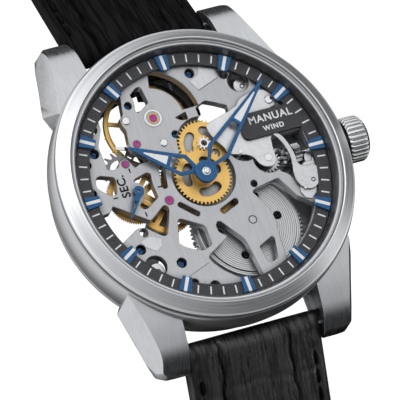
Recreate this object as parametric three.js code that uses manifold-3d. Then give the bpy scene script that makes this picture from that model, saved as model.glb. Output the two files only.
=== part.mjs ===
// A skeleton wristwatch with a hand-wound movement, as separate pieces.
// Millimetres. Origin on the hands' axis at the flat face of the case back.
// +X points to 3 o'clock and the crown, +Y to 12 o'clock, +Z out of the dial.
import * as THREE from "three";
import { mergeVertices } from "three/addons/utils/BufferGeometryUtils.js";
import Module from "manifold-3d";

const wasm = await Module();
wasm.setup();

// ---------------------------------------------------------------- driving dimensions
const CASE_R = 21.5;
const BORE_R = 19.2;
const PLATE_R = 18.2;
const STEM_Z = 7.3;
const CROWN_X = 21.75;
const LUG_Y = 22.9;
const BAR_Z = 3.2;
const LUG_GAP = 20.4;
const STRAP_W = 20;
const LUG_TOP = 9.2;
const DIAL_R = 18.1;
const DIAL_OPENING_R = 16.25;
const BALANCE_R = 6.25;
const CROWN_R = 3.28;
const STRAP_TAPER_W = 18;
const STRAP_THICK = 3.8;
const STRAP_THIN = 2.2;
const BUCKLE_DROP = 9.2;
// facets of large turned pieces and of small holes
const ROUND = 36;
const HOLE = 7;

// heights of the movement's layers
const Z = {
  ratchet: [2.85, 3.3],
  bridge: [3.4, 4.4],
  hairspring: [4.65, 4.85],
  balance: [5.1, 5.75],
  barrelTeeth: [5.2, 5.8],
  drum: [4.9, 6.7],
  palletBridge: [5.95, 6.25],
  wheelLow: [6.45, 6.7],
  centreWheel: [6.85, 7.02],
  fourthWheel: [7.1, 7.35],
  web: [7.5, 8.9],
  recess: 7.75,
  minuteWheel: [7.9, 8.12],
  hourWheel: [8.3, 8.55],
  dial: [9.2, 9.5],
  secondsHand: [9.35, 9.5],
  marker: 9.9,
  hourHand: [9.8, 10.0],
  minuteHand: [10.3, 10.5],
  stackTop: 10.75,
};

// axes of the movement, seen from the dial side
const AXIS = {
  centre: [0, 0],
  balance: [-3.95, 9.79],
  pallet: [-7.55, 6.75],
  escape: [-10.2, 4.37],
  fourth: [-9.95, 0],
  third: [-6.04, -2.24],
  barrel: [4.42, -7.95],
  minute: [1.85, 4.54],
  intermediate: [7.04, 2.65],
  setting: [9.83, 0.03],
  crownWheel: [12.3, 0.3],
};
const TEETH = {
  barrel: 84,
  centrePinion: 12,
  centre: 80,
  thirdPinion: 10,
  third: 75,
  fourthPinion: 10,
  fourth: 80,
  escapePinion: 8,
  escape: 15,
  cannon: 15,
  minute: 40,
  minutePinion: 10,
  hour: 45,
  intermediate: 22,
  setting: 21,
  crownWheel: 30,
  ratchet: 48,
};
const MINUTE_ANGLE = THREE.MathUtils.degToRad(40.6);
const HOUR_ANGLE = THREE.MathUtils.degToRad(146.3);
const SECONDS_ANGLE = THREE.MathUtils.degToRad(235.7);

// ---------------------------------------------------------------- solids
function solid(geometry) {
  const bare = geometry.clone();
  bare.deleteAttribute("normal");
  bare.deleteAttribute("uv");
  const merged = mergeVertices(bare, 1e-4);
  const make = (triVerts) =>
    new wasm.Manifold(
      new wasm.Mesh({
        numProp: 3,
        vertProperties: merged.attributes.position.array,
        triVerts,
      }),
    );
  const order = new Uint32Array(merged.index.array);
  const first = make(order);
  if (first.volume() >= 0) return first;
  for (let i = 0; i < order.length; i += 3) {
    [order[i + 1], order[i + 2]] = [order[i + 2], order[i + 1]];
  }
  return make(order);
}

function geometryOf(body) {
  const mesh = body.getMesh();
  const geometry = new THREE.BufferGeometry();
  const position = new Float32Array(mesh.numVert * 3);
  for (let i = 0; i < mesh.numVert; i++) {
    const from = i * mesh.numProp;
    position.set(mesh.vertProperties.subarray(from, from + 3), i * 3);
  }
  geometry.setAttribute("position", new THREE.BufferAttribute(position, 3));
  geometry.setIndex(new THREE.BufferAttribute(new Uint32Array(mesh.triVerts), 1));
  geometry.computeVertexNormals();
  return geometry;
}

const join = (first, ...rest) => rest.reduce((sum, body) => sum.add(body), first);
const cut = (first, ...rest) => rest.reduce((sum, body) => sum.subtract(body), first);

// A flat plate: a THREE.Shape between two heights.
function plate(shape, [low, high], curveSegments = 12) {
  const depth = high - low;
  const geometry = new THREE.ExtrudeGeometry(shape, { depth, bevelEnabled: false, curveSegments });
  return solid(geometry.translate(0, 0, low));
}

// A turned piece: its profile is a closed loop of (radius, height) points, or runs axis to axis.
function turned(profile, segments = ROUND, [x, y] = [0, 0]) {
  const points = profile.map(([r, z]) => new THREE.Vector2(r, z));
  const geometry = new THREE.LatheGeometry(points, segments);
  return solid(geometry.rotateX(Math.PI / 2).translate(x, y, 0));
}

function ring(inner, outer, [low, high], segments = ROUND, centre = [0, 0]) {
  const profile = [[inner, low], [outer, low], [outer, high], [inner, high], [inner, low]];
  return turned(profile, segments, centre);
}

function disc(radius, [low, high], segments = 24, centre = [0, 0]) {
  return turned([[0, low], [radius, low], [radius, high], [0, high]], segments, centre);
}

// A pin, hole or roller along X.
function pinX(radius, [x0, x1], [y, z], segments = 16) {
  const geometry = new THREE.CylinderGeometry(radius, radius, x1 - x0, segments);
  return solid(geometry.rotateZ(Math.PI / 2).translate((x0 + x1) / 2, y, z));
}

// Lays an outline drawn in X-Y on its side, so that its depth runs along +X.
function alongX(shape, from, depth) {
  const geometry = new THREE.ExtrudeGeometry(shape, { depth, bevelEnabled: false });
  const turn = new THREE.Matrix4().makeBasis(
    new THREE.Vector3(0, 1, 0),
    new THREE.Vector3(0, 0, 1),
    new THREE.Vector3(1, 0, 0),
  );
  return geometry.applyMatrix4(turn).translate(from, 0, 0);
}

function box([x0, x1], [y0, y1], [z0, z1]) {
  const geometry = new THREE.BoxGeometry(x1 - x0, y1 - y0, z1 - z0);
  return solid(geometry.translate((x0 + x1) / 2, (y0 + y1) / 2, (z0 + z1) / 2));
}

const vectors = (points) => points.map(([x, y]) => new THREE.Vector2(x, y));
const shapeOf = (points) => new THREE.Shape(vectors(points));
const polar = (radius, angle, [x, y] = [0, 0]) => {
  return [x + radius * Math.cos(angle), y + radius * Math.sin(angle)];
};
const distance = (a, b) => Math.hypot(b[0] - a[0], b[1] - a[1]);
const bearing = (a, b) => Math.atan2(b[1] - a[1], b[0] - a[0]);
const rad = THREE.MathUtils.degToRad;

function arcPoints(radius, from, to, count, centre = [0, 0]) {
  const step = (to - from) / count;
  return Array.from({ length: count + 1 }, (_, i) => polar(radius, from + i * step, centre));
}

// A straight arm with round ends between two points.
function armShape(a, b, radius, ends = 4) {
  const along = bearing(a, b);
  const quarter = Math.PI / 2;
  return shapeOf([
    ...arcPoints(radius, along - quarter, along + quarter, ends, b),
    ...arcPoints(radius, along + quarter, along + 3 * quarter, ends, a),
  ]);
}
const arm = (a, b, radius, layer) => plate(armShape(a, b, radius), layer);

// ---------------------------------------------------------------- gears
// Pitch radii that put a wheel and its pinion in mesh at a given distance.
function meshRadii(gap, wheelTeeth, pinionTeeth) {
  const module = (2 * gap) / (wheelTeeth + pinionTeeth);
  return { module, wheel: (module * wheelTeeth) / 2, pinion: (module * pinionTeeth) / 2 };
}

// Turn of the second gear that puts a gap of it over the first gear's tooth on the line of centres.
function meshPhase(firstTeeth, firstPhase, secondTeeth, lineAngle) {
  const toothPart = (firstTeeth * (lineAngle - firstPhase)) / (2 * Math.PI);
  return lineAngle + Math.PI - ((2 * Math.PI) / secondTeeth) * (0.5 - toothPart);
}

// Outline of a spur gear: a plain wheel's teeth are pointed, a pinion's leaves have flat tops.
function gearPoints(teeth, pitchRadius, module, phase, centre, flatTops = false) {
  const tip = pitchRadius + 0.85 * module;
  const root = pitchRadius - 1.2 * module;
  const pitch = (2 * Math.PI) / teeth;
  const points = [];
  for (let i = 0; i < teeth; i++) {
    const middle = phase + i * pitch;
    if (!flatTops) {
      points.push(polar(tip, middle, centre), polar(root, middle + pitch / 2, centre));
      continue;
    }
    points.push(polar(root, middle - 0.3 * pitch, centre));
    points.push(polar(tip, middle - 0.12 * pitch, centre));
    points.push(polar(tip, middle + 0.12 * pitch, centre));
    points.push(polar(root, middle + 0.3 * pitch, centre));
  }
  return points;
}

// Openings between the spokes of a wheel.
function spokeHoles(count, inner, outer, spokeWidth, centre, turn = 0) {
  const step = (2 * Math.PI) / count;
  return Array.from({ length: count }, (_, i) => {
    const middle = turn + i * step;
    const outerHalf = step / 2 - spokeWidth / 2 / outer;
    const innerHalf = step / 2 - spokeWidth / 2 / inner;
    const loop = [
      ...arcPoints(outer, middle - outerHalf, middle + outerHalf, 5, centre),
      ...arcPoints(inner, middle + innerHalf, middle - innerHalf, 1, centre),
    ];
    return new THREE.Path(vectors(loop));
  });
}

const [SPOKE_HUB_R, SPOKE_W, SPOKED_RIM] = [1.15, 0.75, 0.7];
function gear({ teeth, radius, module, phase = 0, centre, layer, flatTops = false, spokes = 0 }) {
  const shape = shapeOf(gearPoints(teeth, radius, module, phase, centre, flatTops));
  if (spokes) {
    const outer = radius - 1.2 * module - SPOKED_RIM;
    shape.holes.push(...spokeHoles(spokes, SPOKE_HUB_R, outer, SPOKE_W, centre, phase));
  }
  return plate(shape, layer);
}

// An arbor with its two thin pivots.
function arbor(centre, radius, pivotRadius, [low, high], pivotLength = 0.45) {
  return turned(
    [
      [0, low - pivotLength],
      [pivotRadius, low - pivotLength],
      [pivotRadius, low],
      [radius, low],
      [radius, high],
      [pivotRadius, high],
      [pivotRadius, high + pivotLength],
      [0, high + pivotLength],
    ],
    7,
    centre,
  );
}

// ---------------------------------------------------------------- nodes
const watch = new THREE.Group();
const COLOURS = {
  steel: [0xc8cacd, 0.35, 1],
  polished: [0xd8dadd, 0.12, 1],
  gold: [0xf0c87a, 0.3, 1],
  blue: [0x1f5c9a, 0.35, 0.6],
  dial: [0x3c3c40, 0.55, 0.3],
  glass: [0xeef4f6, 0.05, 0],
  rubber: [0x222224, 0.8, 0],
  leather: [0x161618, 0.6, 0],
  white: [0xeceff0, 0.6, 0],
};

function add(name, body, finish) {
  const [color, roughness, metalness] = COLOURS[finish];
  const material = new THREE.MeshStandardMaterial({ color, roughness, metalness });
  const mesh = new THREE.Mesh(geometryOf(body), material);
  mesh.name = name;
  watch.add(mesh);
}

// ---------------------------------------------------------------- case
// One lug at upper right; the other three are mirrored from it.
function lugPoints(side, end) {
  const inner = LUG_GAP / 2;
  const plan = [
    [inner, 12], [15.2, 12.4], [16.7, 13.75], [17.9, 15.1], [17.2, 16.9], [16.4, 19.4], [15.7, 22.2],
    [14.9, 24.0], [13.6, 25.1], [inner, 25.5],
  ];
  return shapeOf(plan.map(([x, y]) => [side * x, end * y]));
}

function lug(side, end) {
  const body = plate(lugPoints(side, end), [0, LUG_TOP]);
  const profile = [
    [9, 1.5], [21, 1.35], [24.2, 1.9], [25.4, 2.9], [25.0, 4.0], [22.9, 6.5], [19, 8.0],
    [13.5, LUG_TOP], [9, LUG_TOP],
  ];
  const swept = alongX(shapeOf(profile.map(([y, z]) => [end * y, z])), -30, 60);
  return body.intersect(solid(swept));
}

// The lug's side leans in above a line along it and is undercut below: two half spaces to cut away.
const LUG_EDGE = { at: [17.05, 17.5, 4.5], outward: rad(16), dip: rad(-15), leans: [rad(-20), rad(42)] };
function lugBevels(side, end) {
  const [deep, long, tall] = [8, 28, 18];
  return LUG_EDGE.leans.map((lean) => {
    const block = new THREE.BoxGeometry(deep, long, tall).translate(deep / 2, 0, 0).rotateY(lean);
    block.rotateX(LUG_EDGE.dip).rotateZ(LUG_EDGE.outward).translate(...LUG_EDGE.at);
    return solid(block.scale(side, end, 1));
  });
}

function caseMiddle() {
  const body = turned([
    [BORE_R, 1.7],
    [19.95, 1.7],
    [20.7, 3.5],
    [21.3, 5.4],
    [CASE_R, 7.0],
    [CASE_R, 9.3],
    [21.3, 9.6],
    [BORE_R, 9.6],
    [BORE_R, 1.7],
  ]);
  const corners = [[1, 1], [-1, 1], [1, -1], [-1, -1]];
  let lugs = join(...corners.map(([side, end]) => lug(side, end)));
  lugs = cut(lugs, ...corners.flatMap(([side, end]) => lugBevels(side, end)));
  lugs = cut(lugs, disc(BORE_R + 0.4, [-1, 12], ROUND), disc(20.15, [-1, 1.68], ROUND));
  const holes = [1, -1].map((end) => pinX(0.62, [-12.2, 12.2], [end * LUG_Y, BAR_Z], HOLE));
  const tubeHole = pinX(1.15, [17, 24], [0, STEM_Z], 20);
  return cut(join(body, lugs), ...holes, tubeHole);
}
add("case_middle", caseMiddle(), "steel");

add(
  "bezel",
  turned([
    [18.15, 9.65],
    [21.2, 9.65],
    [21.26, 10.2],
    [20.98, 10.44],
    [19.62, 11.52],
    [19.42, 11.5],
    [19.3, 11.3],
    [19.3, 10.95],
    [18.75, 10.95],
    [18.15, 9.95],
    [18.15, 9.65],
  ]),
  "steel",
);
add("crystal_gasket", ring(19.03, 19.26, [11.0, 11.4]), "white");
add(
  "front_crystal",
  turned([[0, 11.0], [18.95, 11.0], [18.95, 11.75], [18.6, 12.05], [0, 12.1]]),
  "glass",
);
add(
  "case_back_ring",
  turned([
    [16.4, 0],
    [19.3, 0],
    [19.9, 0.6],
    [19.9, 1.65],
    [19.1, 1.65],
    [19.1, 2.6],
    [17.0, 2.6],
    [17.0, 0.75],
    [16.4, 0.75],
    [16.4, 0],
  ]),
  "polished",
);
add("back_gasket", ring(18.35, 18.9, [2.65, 2.95], 24), "rubber");
// The back crystal fills the ring's opening, flush with its face, with a step behind the ring's lip.
const BACK_FACETS = 35;
function backDisc(radius, layer) {
  const rim = arcPoints(radius, 0, 2 * Math.PI, BACK_FACETS);
  return plate(shapeOf(rim.slice(0, -1)), layer);
}
add("back_crystal", join(backDisc(16.3, [0, 0.9]), backDisc(16.9, [0.8, 1.45])), "glass");
add(
  "movement_ring",
  cut(ring(18.3, 19.1, [3.4, 9.1]), pinX(1.3, [16, 22], [0, STEM_Z], 16)),
  "steel",
);
add(
  "crown_tube",
  cut(pinX(1.1, [19.9, 22.2], [0, STEM_Z], 16), pinX(0.75, [19, 23], [0, STEM_Z], 12)),
  "polished",
);
[["spring_bar_12", 1], ["spring_bar_6", -1]].forEach(([name, end]) => {
  const at = [end * LUG_Y, BAR_Z];
  add(name, join(pinX(0.85, [-9.9, 9.9], at, 12), pinX(0.5, [-11.6, 11.6], at, HOLE)), "polished");
});

// ---------------------------------------------------------------- dial
function dialRing() {
  const body = ring(DIAL_OPENING_R, DIAL_R, Z.dial, ROUND);
  const tab = new THREE.Shape();
  const [left, low, high, corner] = [7.4, 3.06, 6.85, 0.9];
  tab.moveTo(16.9, low).lineTo(16.9, high).lineTo(left + corner, high);
  tab.absarc(left + corner, high - corner, corner, Math.PI / 2, Math.PI, false);
  tab.absarc(left + corner, low + corner, corner, Math.PI, 1.5 * Math.PI, false);
  return join(body, plate(tab, Z.dial, 5));
}
add("dial_ring", dialRing(), "dial");

// Twelve applied markers on one thin carrier ring.
function hourMarkers() {
  const markers = Array.from({ length: 12 }, (_, i) => {
    const turn = (i * Math.PI) / 6;
    const [inner, outer] = [15.75, 18.05];
    const outline = [[inner, -0.65], [outer, -0.95], [outer, 0.95], [inner, 0.65]];
    const placed = outline.map(([r, side]) => [
      r * Math.cos(turn) - side * Math.sin(turn),
      r * Math.sin(turn) + side * Math.cos(turn),
    ]);
    return plate(shapeOf(placed), [9.55, Z.marker]);
  });
  return join(ring(17.85, 18.1, [9.52, 9.62], 24), ...markers);
}
add("hour_markers", hourMarkers(), "blue");

// ---------------------------------------------------------------- main plate
const WINDOWS = {
  balanceLeft: [
    [-7.3, 14.6], [-7.45, 13.9], [-7.9, 11.4], [-8.6, 10.9], [-8.6, 9.9], [-8.3, 9], [-8.6, 7],
    [-8.4, 5.9], [-7.4, 5], [-6.7, 3.95], [-8.1, 3.95], [-9, 3.55], [-9.35, 4.3], [-9.7, 5],
    [-10.2, 5.2], [-10.9, 4.9], [-11.2, 4.3], [-12, 4], [-12.9, 4.3], [-12.95, 7.8],
    [-11.7, 10.15], [-11.6, 12.1], [-9.6, 13.7],
  ],
  balanceTop: [
    [-5.9, 13.9], [-4.9, 14.6], [-4.3, 14.7], [-4, 14.4], [-3.75, 12.2], [-5.6, 11.1], [-6, 11.3],
    [-5.7, 12.8],
  ],
  balanceCorner: [[-0.86, 9.07], [0.9, 9.55], [0.9, 8.4], [-0.1, 8.5]],
  minuteTop: [[2.5, 9.7], [4.1, 10.4], [5.4, 9.8], [7, 8.9], [6.9, 8], [4.4, 7.3], [3, 7.9], [2.5, 8.6]],
  secondsRight: [
    [-10, 1.7], [-9.6, 2], [-7.7, 2.45], [-7.2, 2.15], [-7.45, 0.5], [-7.35, -1.35], [-9.4, -2.55],
    [-10.1, -2.5], [-10.35, -1.9], [-9.6, -1.2], [-8.85, -0.3], [-8.8, 0.5], [-9.2, 1.2],
  ],
  secondsLeft: [
    [-15.25, 2.6], [-14.9, 3.5], [-14.3, 3.65], [-12.5, 3], [-12.3, 2.6], [-12.7, 0.9], [-13.1, 0.4],
    [-13.9, 0.6], [-15.2, 2],
  ],
  thirdWheel: [
    [-16.3, -2], [-14.7, -1.8], [-14.1, -1], [-12.9, -1.9], [-9.7, -4.35], [-9, -4], [-7.3, -2.8],
    [-6.85, -2.75], [-6.5, -3.1], [-6.6, -3.8], [-7.9, -6.7], [-8.4, -7], [-8.9, -6.8],
    [-10.8, -5.1], [-11.9, -4.95], [-15, -6.6], [-16, -4.2],
  ],
  spokeLeft: [
    [-6, -5.4], [-5.6, -5.15], [-5.1, -5.4], [-2.7, -6.9], [-2.4, -7.3], [-2.4, -9.7], [-2.7, -10],
    [-3.9, -10.35], [-5, -10], [-6.3, -9.2], [-6.95, -8.5], [-6.6, -7.5],
  ],
  barrelLeft: [
    [-0.95, -7.4], [-0.6, -6.9], [-0.1, -7], [2.2, -10.2], [2.45, -10.9], [3.1, -16.1], [1, -16.2],
    [-0.6, -15.3], [-2.2, -13.9], [-3.3, -12.4], [-3.6, -11.6], [-3.3, -11.2], [-1, -10], [0.1, -9.3],
    [-0.9, -8.4],
  ],
  barrelRight: [
    [6.4, -3.75], [9.7, -3.15], [10.2, -3.15], [11.9, -6.3], [12.9, -7], [14, -8.1], [12, -10.9],
    [9, -13.5], [7.2, -14.6], [7.2, -12], [7.6, -8.8], [7.4, -7.2], [6.7, -5.7], [5.9, -4.1],
  ],
  barrelLow: [
    [3.95, -11.9], [5.9, -11.05], [6.2, -10.95], [6.5, -11.3], [6.3, -12.5], [6, -14], [5, -14.5],
    [4.3, -14.3],
  ],
  keyless: [
    [10.9, 2.9], [16.1, 2.9], [16.45, -1.2], [16.25, -3.6], [15.3, -5.75], [13, -5.75], [12, -3],
    [10.9, -2.2],
  ],
};
const SLOTS = [
  [[-5.35, 2.4], [-5.9, 0], 0.45],
  [[-4.75, -3.25], [-2.85, -5.1], 0.38],
  [[0.9, -5.6], [3, -4.8], 0.45],
];
// The main screw and pillar holes: x, y, radius.
const PLATE_HOLES = [[-13.95, 6.93, 0.72], [5.87, 14.37, 0.83], [-12.5, -8, 0.72], [-7.6, -11.3, 0.72]];

// The round window over the balance rim, from the cock's arm round to the right.
function balanceSector() {
  const [from, to] = [rad(2), rad(76)];
  return shapeOf([
    ...arcPoints(7, from, to, 12, AXIS.balance),
    ...arcPoints(4.5, to, from, 10, AXIS.balance),
  ]);
}

function mainPlate() {
  const [webLow, webHigh] = Z.web;
  const through = [webLow - 0.3, webHigh + 0.3];
  const sink = [Z.recess, webHigh + 0.3];
  let body = disc(PLATE_R, Z.web, ROUND);
  body = join(body, ring(16.7, PLATE_R, [4.4, webLow + 0.2]));
  body = cut(body, ...Object.values(WINDOWS).map((points) => plate(shapeOf(points), through)));
  body = cut(body, plate(balanceSector(), through));
  body = cut(body, ...SLOTS.map(([a, b, radius]) => arm(a, b, radius, through)));
  body = cut(body, ...PLATE_HOLES.map(([x, y, radius]) => disc(radius, through, HOLE, [x, y])));
  // milled room for the balance, the barrel and the wheels under the dial
  body = cut(body, disc(6.6, [4.0, 7.3], 32, AXIS.balance), disc(8.4, [4.0, 7.3], 32, AXIS.barrel));
  body = cut(
    body,
    disc(4.6, sink, 28),
    disc(3.95, sink, 24, AXIS.minute),
    disc(2.3, sink, 20, AXIS.intermediate),
    disc(2.2, sink, 20, AXIS.setting),
  );
  // pivot and arbor holes
  body = cut(body, disc(0.65, through, 16));
  const bores = [["balance", 0.2], ["pallet", 0.2], ["escape", 0.2], ["third", 0.2], ["barrel", 0.55]];
  body = cut(body, ...bores.map(([axis, radius]) => disc(radius, through, HOLE, AXIS[axis])));
  body = cut(body, disc(0.3, through, HOLE, AXIS.fourth), pinX(0.95, [15.5, 19], [0, STEM_Z], 16));
  // studs for the wheels under the dial
  const studs = ["minute", "intermediate", "setting"].map((axis) => {
    return disc(0.35, [webLow + 0.1, 8.5], HOLE, AXIS[axis]);
  });
  return join(body, ...studs);
}
add("main_plate", mainPlate(), "steel");

function settingCover() {
  const outline = [
    [2.9, 6.9], [4.2, 7.3], [6.9, 8], [8.3, 8.6], [8.8, 9.3], [10.2, 9.75], [12.6, 9.9], [14.2, 8.7],
    [13.9, 7.2], [12.5, 6.9], [12.5, 3.1], [11.3, 2.9], [11, 1.3], [10.9, -0.4], [10.5, -1.1],
    [9.7, -1.35], [8.8, -1.1], [8.2, -0.4], [7.9, 0.5], [7.2, 1.1], [6, 1.5], [5, 1.75], [4.1, 2.5],
    [3.7, 4.6], [2.9, 5.9],
  ];
  const body = plate(shapeOf(outline), [8.91, 9.15]);
  return cut(body, disc(1.05, [8, 10], 14, AXIS.minute), disc(4.3, [8, 10], 40));
}
add("setting_cover", settingCover(), "polished");

// ---------------------------------------------------------------- bridges
function rimFoot(fromDeg, toDeg, layer, [inner, outer] = [16.0, 18.1]) {
  const [from, to] = [rad(fromDeg), rad(toDeg)];
  const foot = [...arcPoints(outer, from, to, 8), ...arcPoints(inner, to, from, 6)];
  return plate(shapeOf(foot), layer);
}

function barrelBridge() {
  const outline = [
    ...arcPoints(18.1, rad(-108), rad(28), 18),
    [12.5, 6.2], [8.3, 2.6], [4.2, -1.6], [1.2, -4.4], [-0.4, -8.4], [-1.6, -12.5],
  ];
  const layer = Z.bridge;
  const through = [3, 5];
  let body = plate(shapeOf(outline), layer);
  body = cut(body, disc(1.1, through, 20, AXIS.barrel), disc(2.6, through, 28, AXIS.crownWheel));
  body = cut(body, ...[[11.2, -9.6], [5.6, -14.4], [14.6, -5]].map((at) => disc(0.5, through, HOLE, at)));
  return body;
}
add("barrel_bridge", barrelBridge(), "steel");

function trainBridge() {
  const layer = Z.bridge;
  const root = [-12.1, -10.8];
  const { third, fourth, escape, centre } = AXIS;
  let body = join(
    rimFoot(208, 242, layer, [14.6, 18.1]),
    arm(root, third, 1.5, layer),
    arm(third, fourth, 1.15, layer),
    arm(fourth, escape, 1.0, layer),
    arm(third, centre, 1.3, layer),
    disc(1.7, layer, 24, centre),
  );
  const through = [3, 5];
  body = cut(body, ...[third, fourth, escape].map((at) => disc(0.22, through, HOLE, at)));
  body = cut(body, disc(0.4, through, HOLE, centre));
  return cut(body, ...[[-13.6, -8.9], [-10.4, -12.9]].map((at) => disc(0.5, through, HOLE, at)));
}
add("train_bridge", trainBridge(), "steel");

function balanceCock() {
  const layer = Z.bridge;
  const { balance } = AXIS;
  const body = join(
    rimFoot(50, 82, layer, [13.6, 18.1]),
    arm([5.2, 13.6], balance, 1.7, layer),
    disc(2.1, layer, 28, balance),
  );
  return cut(body, disc(0.22, [3, 5], HOLE, balance), disc(0.6, [3, 5], HOLE, [5.9, 15]));
}
add("balance_cock", balanceCock(), "steel");

function palletBridge() {
  const layer = Z.palletBridge;
  const { pallet } = AXIS;
  const [near, far] = [[-3.77, 5.98], [-1.69, 6.75]];
  const body = join(
    arm(pallet, near, 0.75, layer),
    arm(near, far, 0.65, layer),
    disc(0.85, layer, 16, pallet),
    disc(0.55, [6.0, Z.web[0]], 12, near),
    disc(0.55, [6.0, Z.web[0]], 12, far),
  );
  return cut(body, disc(0.2, [5, 6.5], HOLE, pallet));
}
add("pallet_bridge", palletBridge(), "steel");

// ---------------------------------------------------------------- going train
const barrelMesh = meshRadii(distance(AXIS.barrel, AXIS.centre), TEETH.barrel, TEETH.centrePinion);
const centreMesh = meshRadii(distance(AXIS.centre, AXIS.third), TEETH.centre, TEETH.thirdPinion);
const thirdMesh = meshRadii(distance(AXIS.third, AXIS.fourth), TEETH.third, TEETH.fourthPinion);
const fourthMesh = meshRadii(distance(AXIS.fourth, AXIS.escape), TEETH.fourth, TEETH.escapePinion);

function barrelDrum() {
  const { barrel } = AXIS;
  const toothed = gear({
    teeth: TEETH.barrel, radius: barrelMesh.wheel, module: barrelMesh.module, centre: barrel,
    layer: Z.barrelTeeth,
  });
  const body = join(toothed, disc(7.4, Z.drum, 32, barrel));
  return cut(body, disc(6.9, [5.2, 7], 32, barrel), disc(1.0, [4, 8], 16, barrel));
}
add("barrel_drum", barrelDrum(), "steel");

function barrelCover() {
  const { barrel } = AXIS;
  const body = disc(6.8, [6.55, 6.85], 32, barrel);
  const holes = [4, 59, 181, 243].map((degrees) => {
    return disc(0.6, [6, 7], HOLE, polar(4.5, rad(degrees), barrel));
  });
  return cut(body, disc(0.75, [6, 7], 16, barrel), ...holes);
}
add("barrel_cover", barrelCover(), "steel");

// A ribbon wound as a flat spiral, cut from one outline.
function spiral(centre, fromR, toR, turns, width, layer, steps, start = 0) {
  const count = Math.round(turns * steps);
  const at = (offset) => (_, i) => {
    const t = i / count;
    return polar(fromR + (toR - fromR) * t + offset, start + t * turns * 2 * Math.PI, centre);
  };
  const outer = Array.from({ length: count + 1 }, at(width / 2));
  const inner = Array.from({ length: count + 1 }, at(-width / 2)).reverse();
  return plate(shapeOf([...outer, ...inner]), layer);
}
add("mainspring", spiral(AXIS.barrel, 2.2, 6.3, 4, 0.35, [5.3, 6.4], 10), "polished");

function barrelArbor() {
  const { barrel } = AXIS;
  return join(
    disc(0.62, [3.35, 6.95], 16, barrel),
    disc(0.45, [6.9, 8.7], 16, barrel),
    disc(1.8, [5.3, 6.4], 20, barrel),
    plate(armShape(barrel, polar(0.5, 0, barrel), 0.35), [2.7, 3.4]),
  );
}
const crownRatchet = meshRadii(distance(AXIS.crownWheel, AXIS.barrel), TEETH.ratchet, TEETH.crownWheel);
const ratchetLine = bearing(AXIS.crownWheel, AXIS.barrel);
const ratchetPhase = meshPhase(TEETH.crownWheel, 0, TEETH.ratchet, ratchetLine);
function ratchetWheel() {
  const { barrel } = AXIS;
  const body = gear({
    teeth: TEETH.ratchet, radius: crownRatchet.wheel, module: crownRatchet.module, phase: ratchetPhase,
    centre: barrel, layer: Z.ratchet,
  });
  return cut(body, disc(1.15, [2, 4], 20, barrel));
}
add("barrel_arbor", barrelArbor(), "polished");
add("ratchet_wheel", ratchetWheel(), "steel");

function crownWheel() {
  const { crownWheel: at } = AXIS;
  const body = gear({
    teeth: TEETH.crownWheel, radius: crownRatchet.pinion, module: crownRatchet.module, centre: at,
    layer: Z.ratchet,
  });
  const collar = ring(1.5, 2.3, [3.2, 5.4], 20, at);
  return cut(join(body, collar), disc(0.6, [2, 4], 12, at));
}
add("crown_wheel", crownWheel(), "steel");

const centrePhase = meshPhase(TEETH.barrel, 0, TEETH.centrePinion, bearing(AXIS.barrel, AXIS.centre));
function centreWheel() {
  const { centre } = AXIS;
  return join(
    gear({
      teeth: TEETH.centre, radius: centreMesh.wheel, module: centreMesh.module, centre,
      layer: Z.centreWheel,
    }),
    disc(1.2, [6.3, 7.02], 12),
    gear({
      teeth: TEETH.centrePinion, radius: barrelMesh.pinion, module: barrelMesh.module, phase: centrePhase,
      centre, layer: [5.1, 6.4],
    }),
    disc(0.55, [4.5, 7.2], 10),
    disc(0.3, [3.5, 10.1], 8),
  );
}
add("centre_wheel", centreWheel(), "gold");

const thirdPinionPhase = meshPhase(TEETH.centre, 0, TEETH.thirdPinion, bearing(AXIS.centre, AXIS.third));
function thirdWheel() {
  const { third: centre } = AXIS;
  return join(
    gear({
      teeth: TEETH.third, radius: thirdMesh.wheel, module: thirdMesh.module, centre, layer: Z.wheelLow,
      spokes: 4,
    }),
    gear({
      teeth: TEETH.thirdPinion, radius: centreMesh.pinion, module: centreMesh.module,
      phase: thirdPinionPhase, centre, layer: [6.6, 7.05],
    }),
    arbor(centre, 0.4, 0.12, [4.5, 7.4]),
  );
}
add("third_wheel", thirdWheel(), "gold");

const fourthPinionPhase = meshPhase(TEETH.third, 0, TEETH.fourthPinion, bearing(AXIS.third, AXIS.fourth));
function fourthWheel() {
  const { fourth: centre } = AXIS;
  return join(
    gear({
      teeth: TEETH.fourth, radius: fourthMesh.wheel, module: fourthMesh.module, centre,
      layer: Z.fourthWheel,
      spokes: 4,
    }),
    gear({
      teeth: TEETH.fourthPinion, radius: 0.97 * thirdMesh.pinion, module: thirdMesh.module,
      phase: fourthPinionPhase, centre, layer: [6.35, 7.2],
    }),
    arbor(centre, 0.35, 0.12, [4.5, 7.4]),
    disc(0.2, [7.3, 9.3], HOLE, centre),
  );
}
add("fourth_wheel", fourthWheel(), "gold");

const escapePinionPhase = meshPhase(TEETH.fourth, 0, TEETH.escapePinion, bearing(AXIS.fourth, AXIS.escape));
function escapeWheel() {
  const { escape: centre } = AXIS;
  const pitch = (2 * Math.PI) / TEETH.escape;
  const points = [];
  for (let i = 0; i < TEETH.escape; i++) {
    const middle = i * pitch + 0.1;
    points.push(polar(2.05, middle - 0.45 * pitch, centre), polar(2.75, middle - 0.05 * pitch, centre));
    points.push(polar(2.85, middle + 0.1 * pitch, centre), polar(2.2, middle + 0.12 * pitch, centre));
  }
  const shape = shapeOf(points);
  shape.holes.push(...spokeHoles(3, 0.8, 1.6, 0.4, centre, 0.3));
  return join(
    plate(shape, Z.wheelLow),
    gear({
      teeth: TEETH.escapePinion, radius: fourthMesh.pinion, module: fourthMesh.module,
      phase: escapePinionPhase, centre, layer: [6.6, 7.4],
    }),
    arbor(centre, 0.3, 0.1, [4.5, 7.4]),
  );
}
add("escape_wheel", escapeWheel(), "polished");

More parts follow.
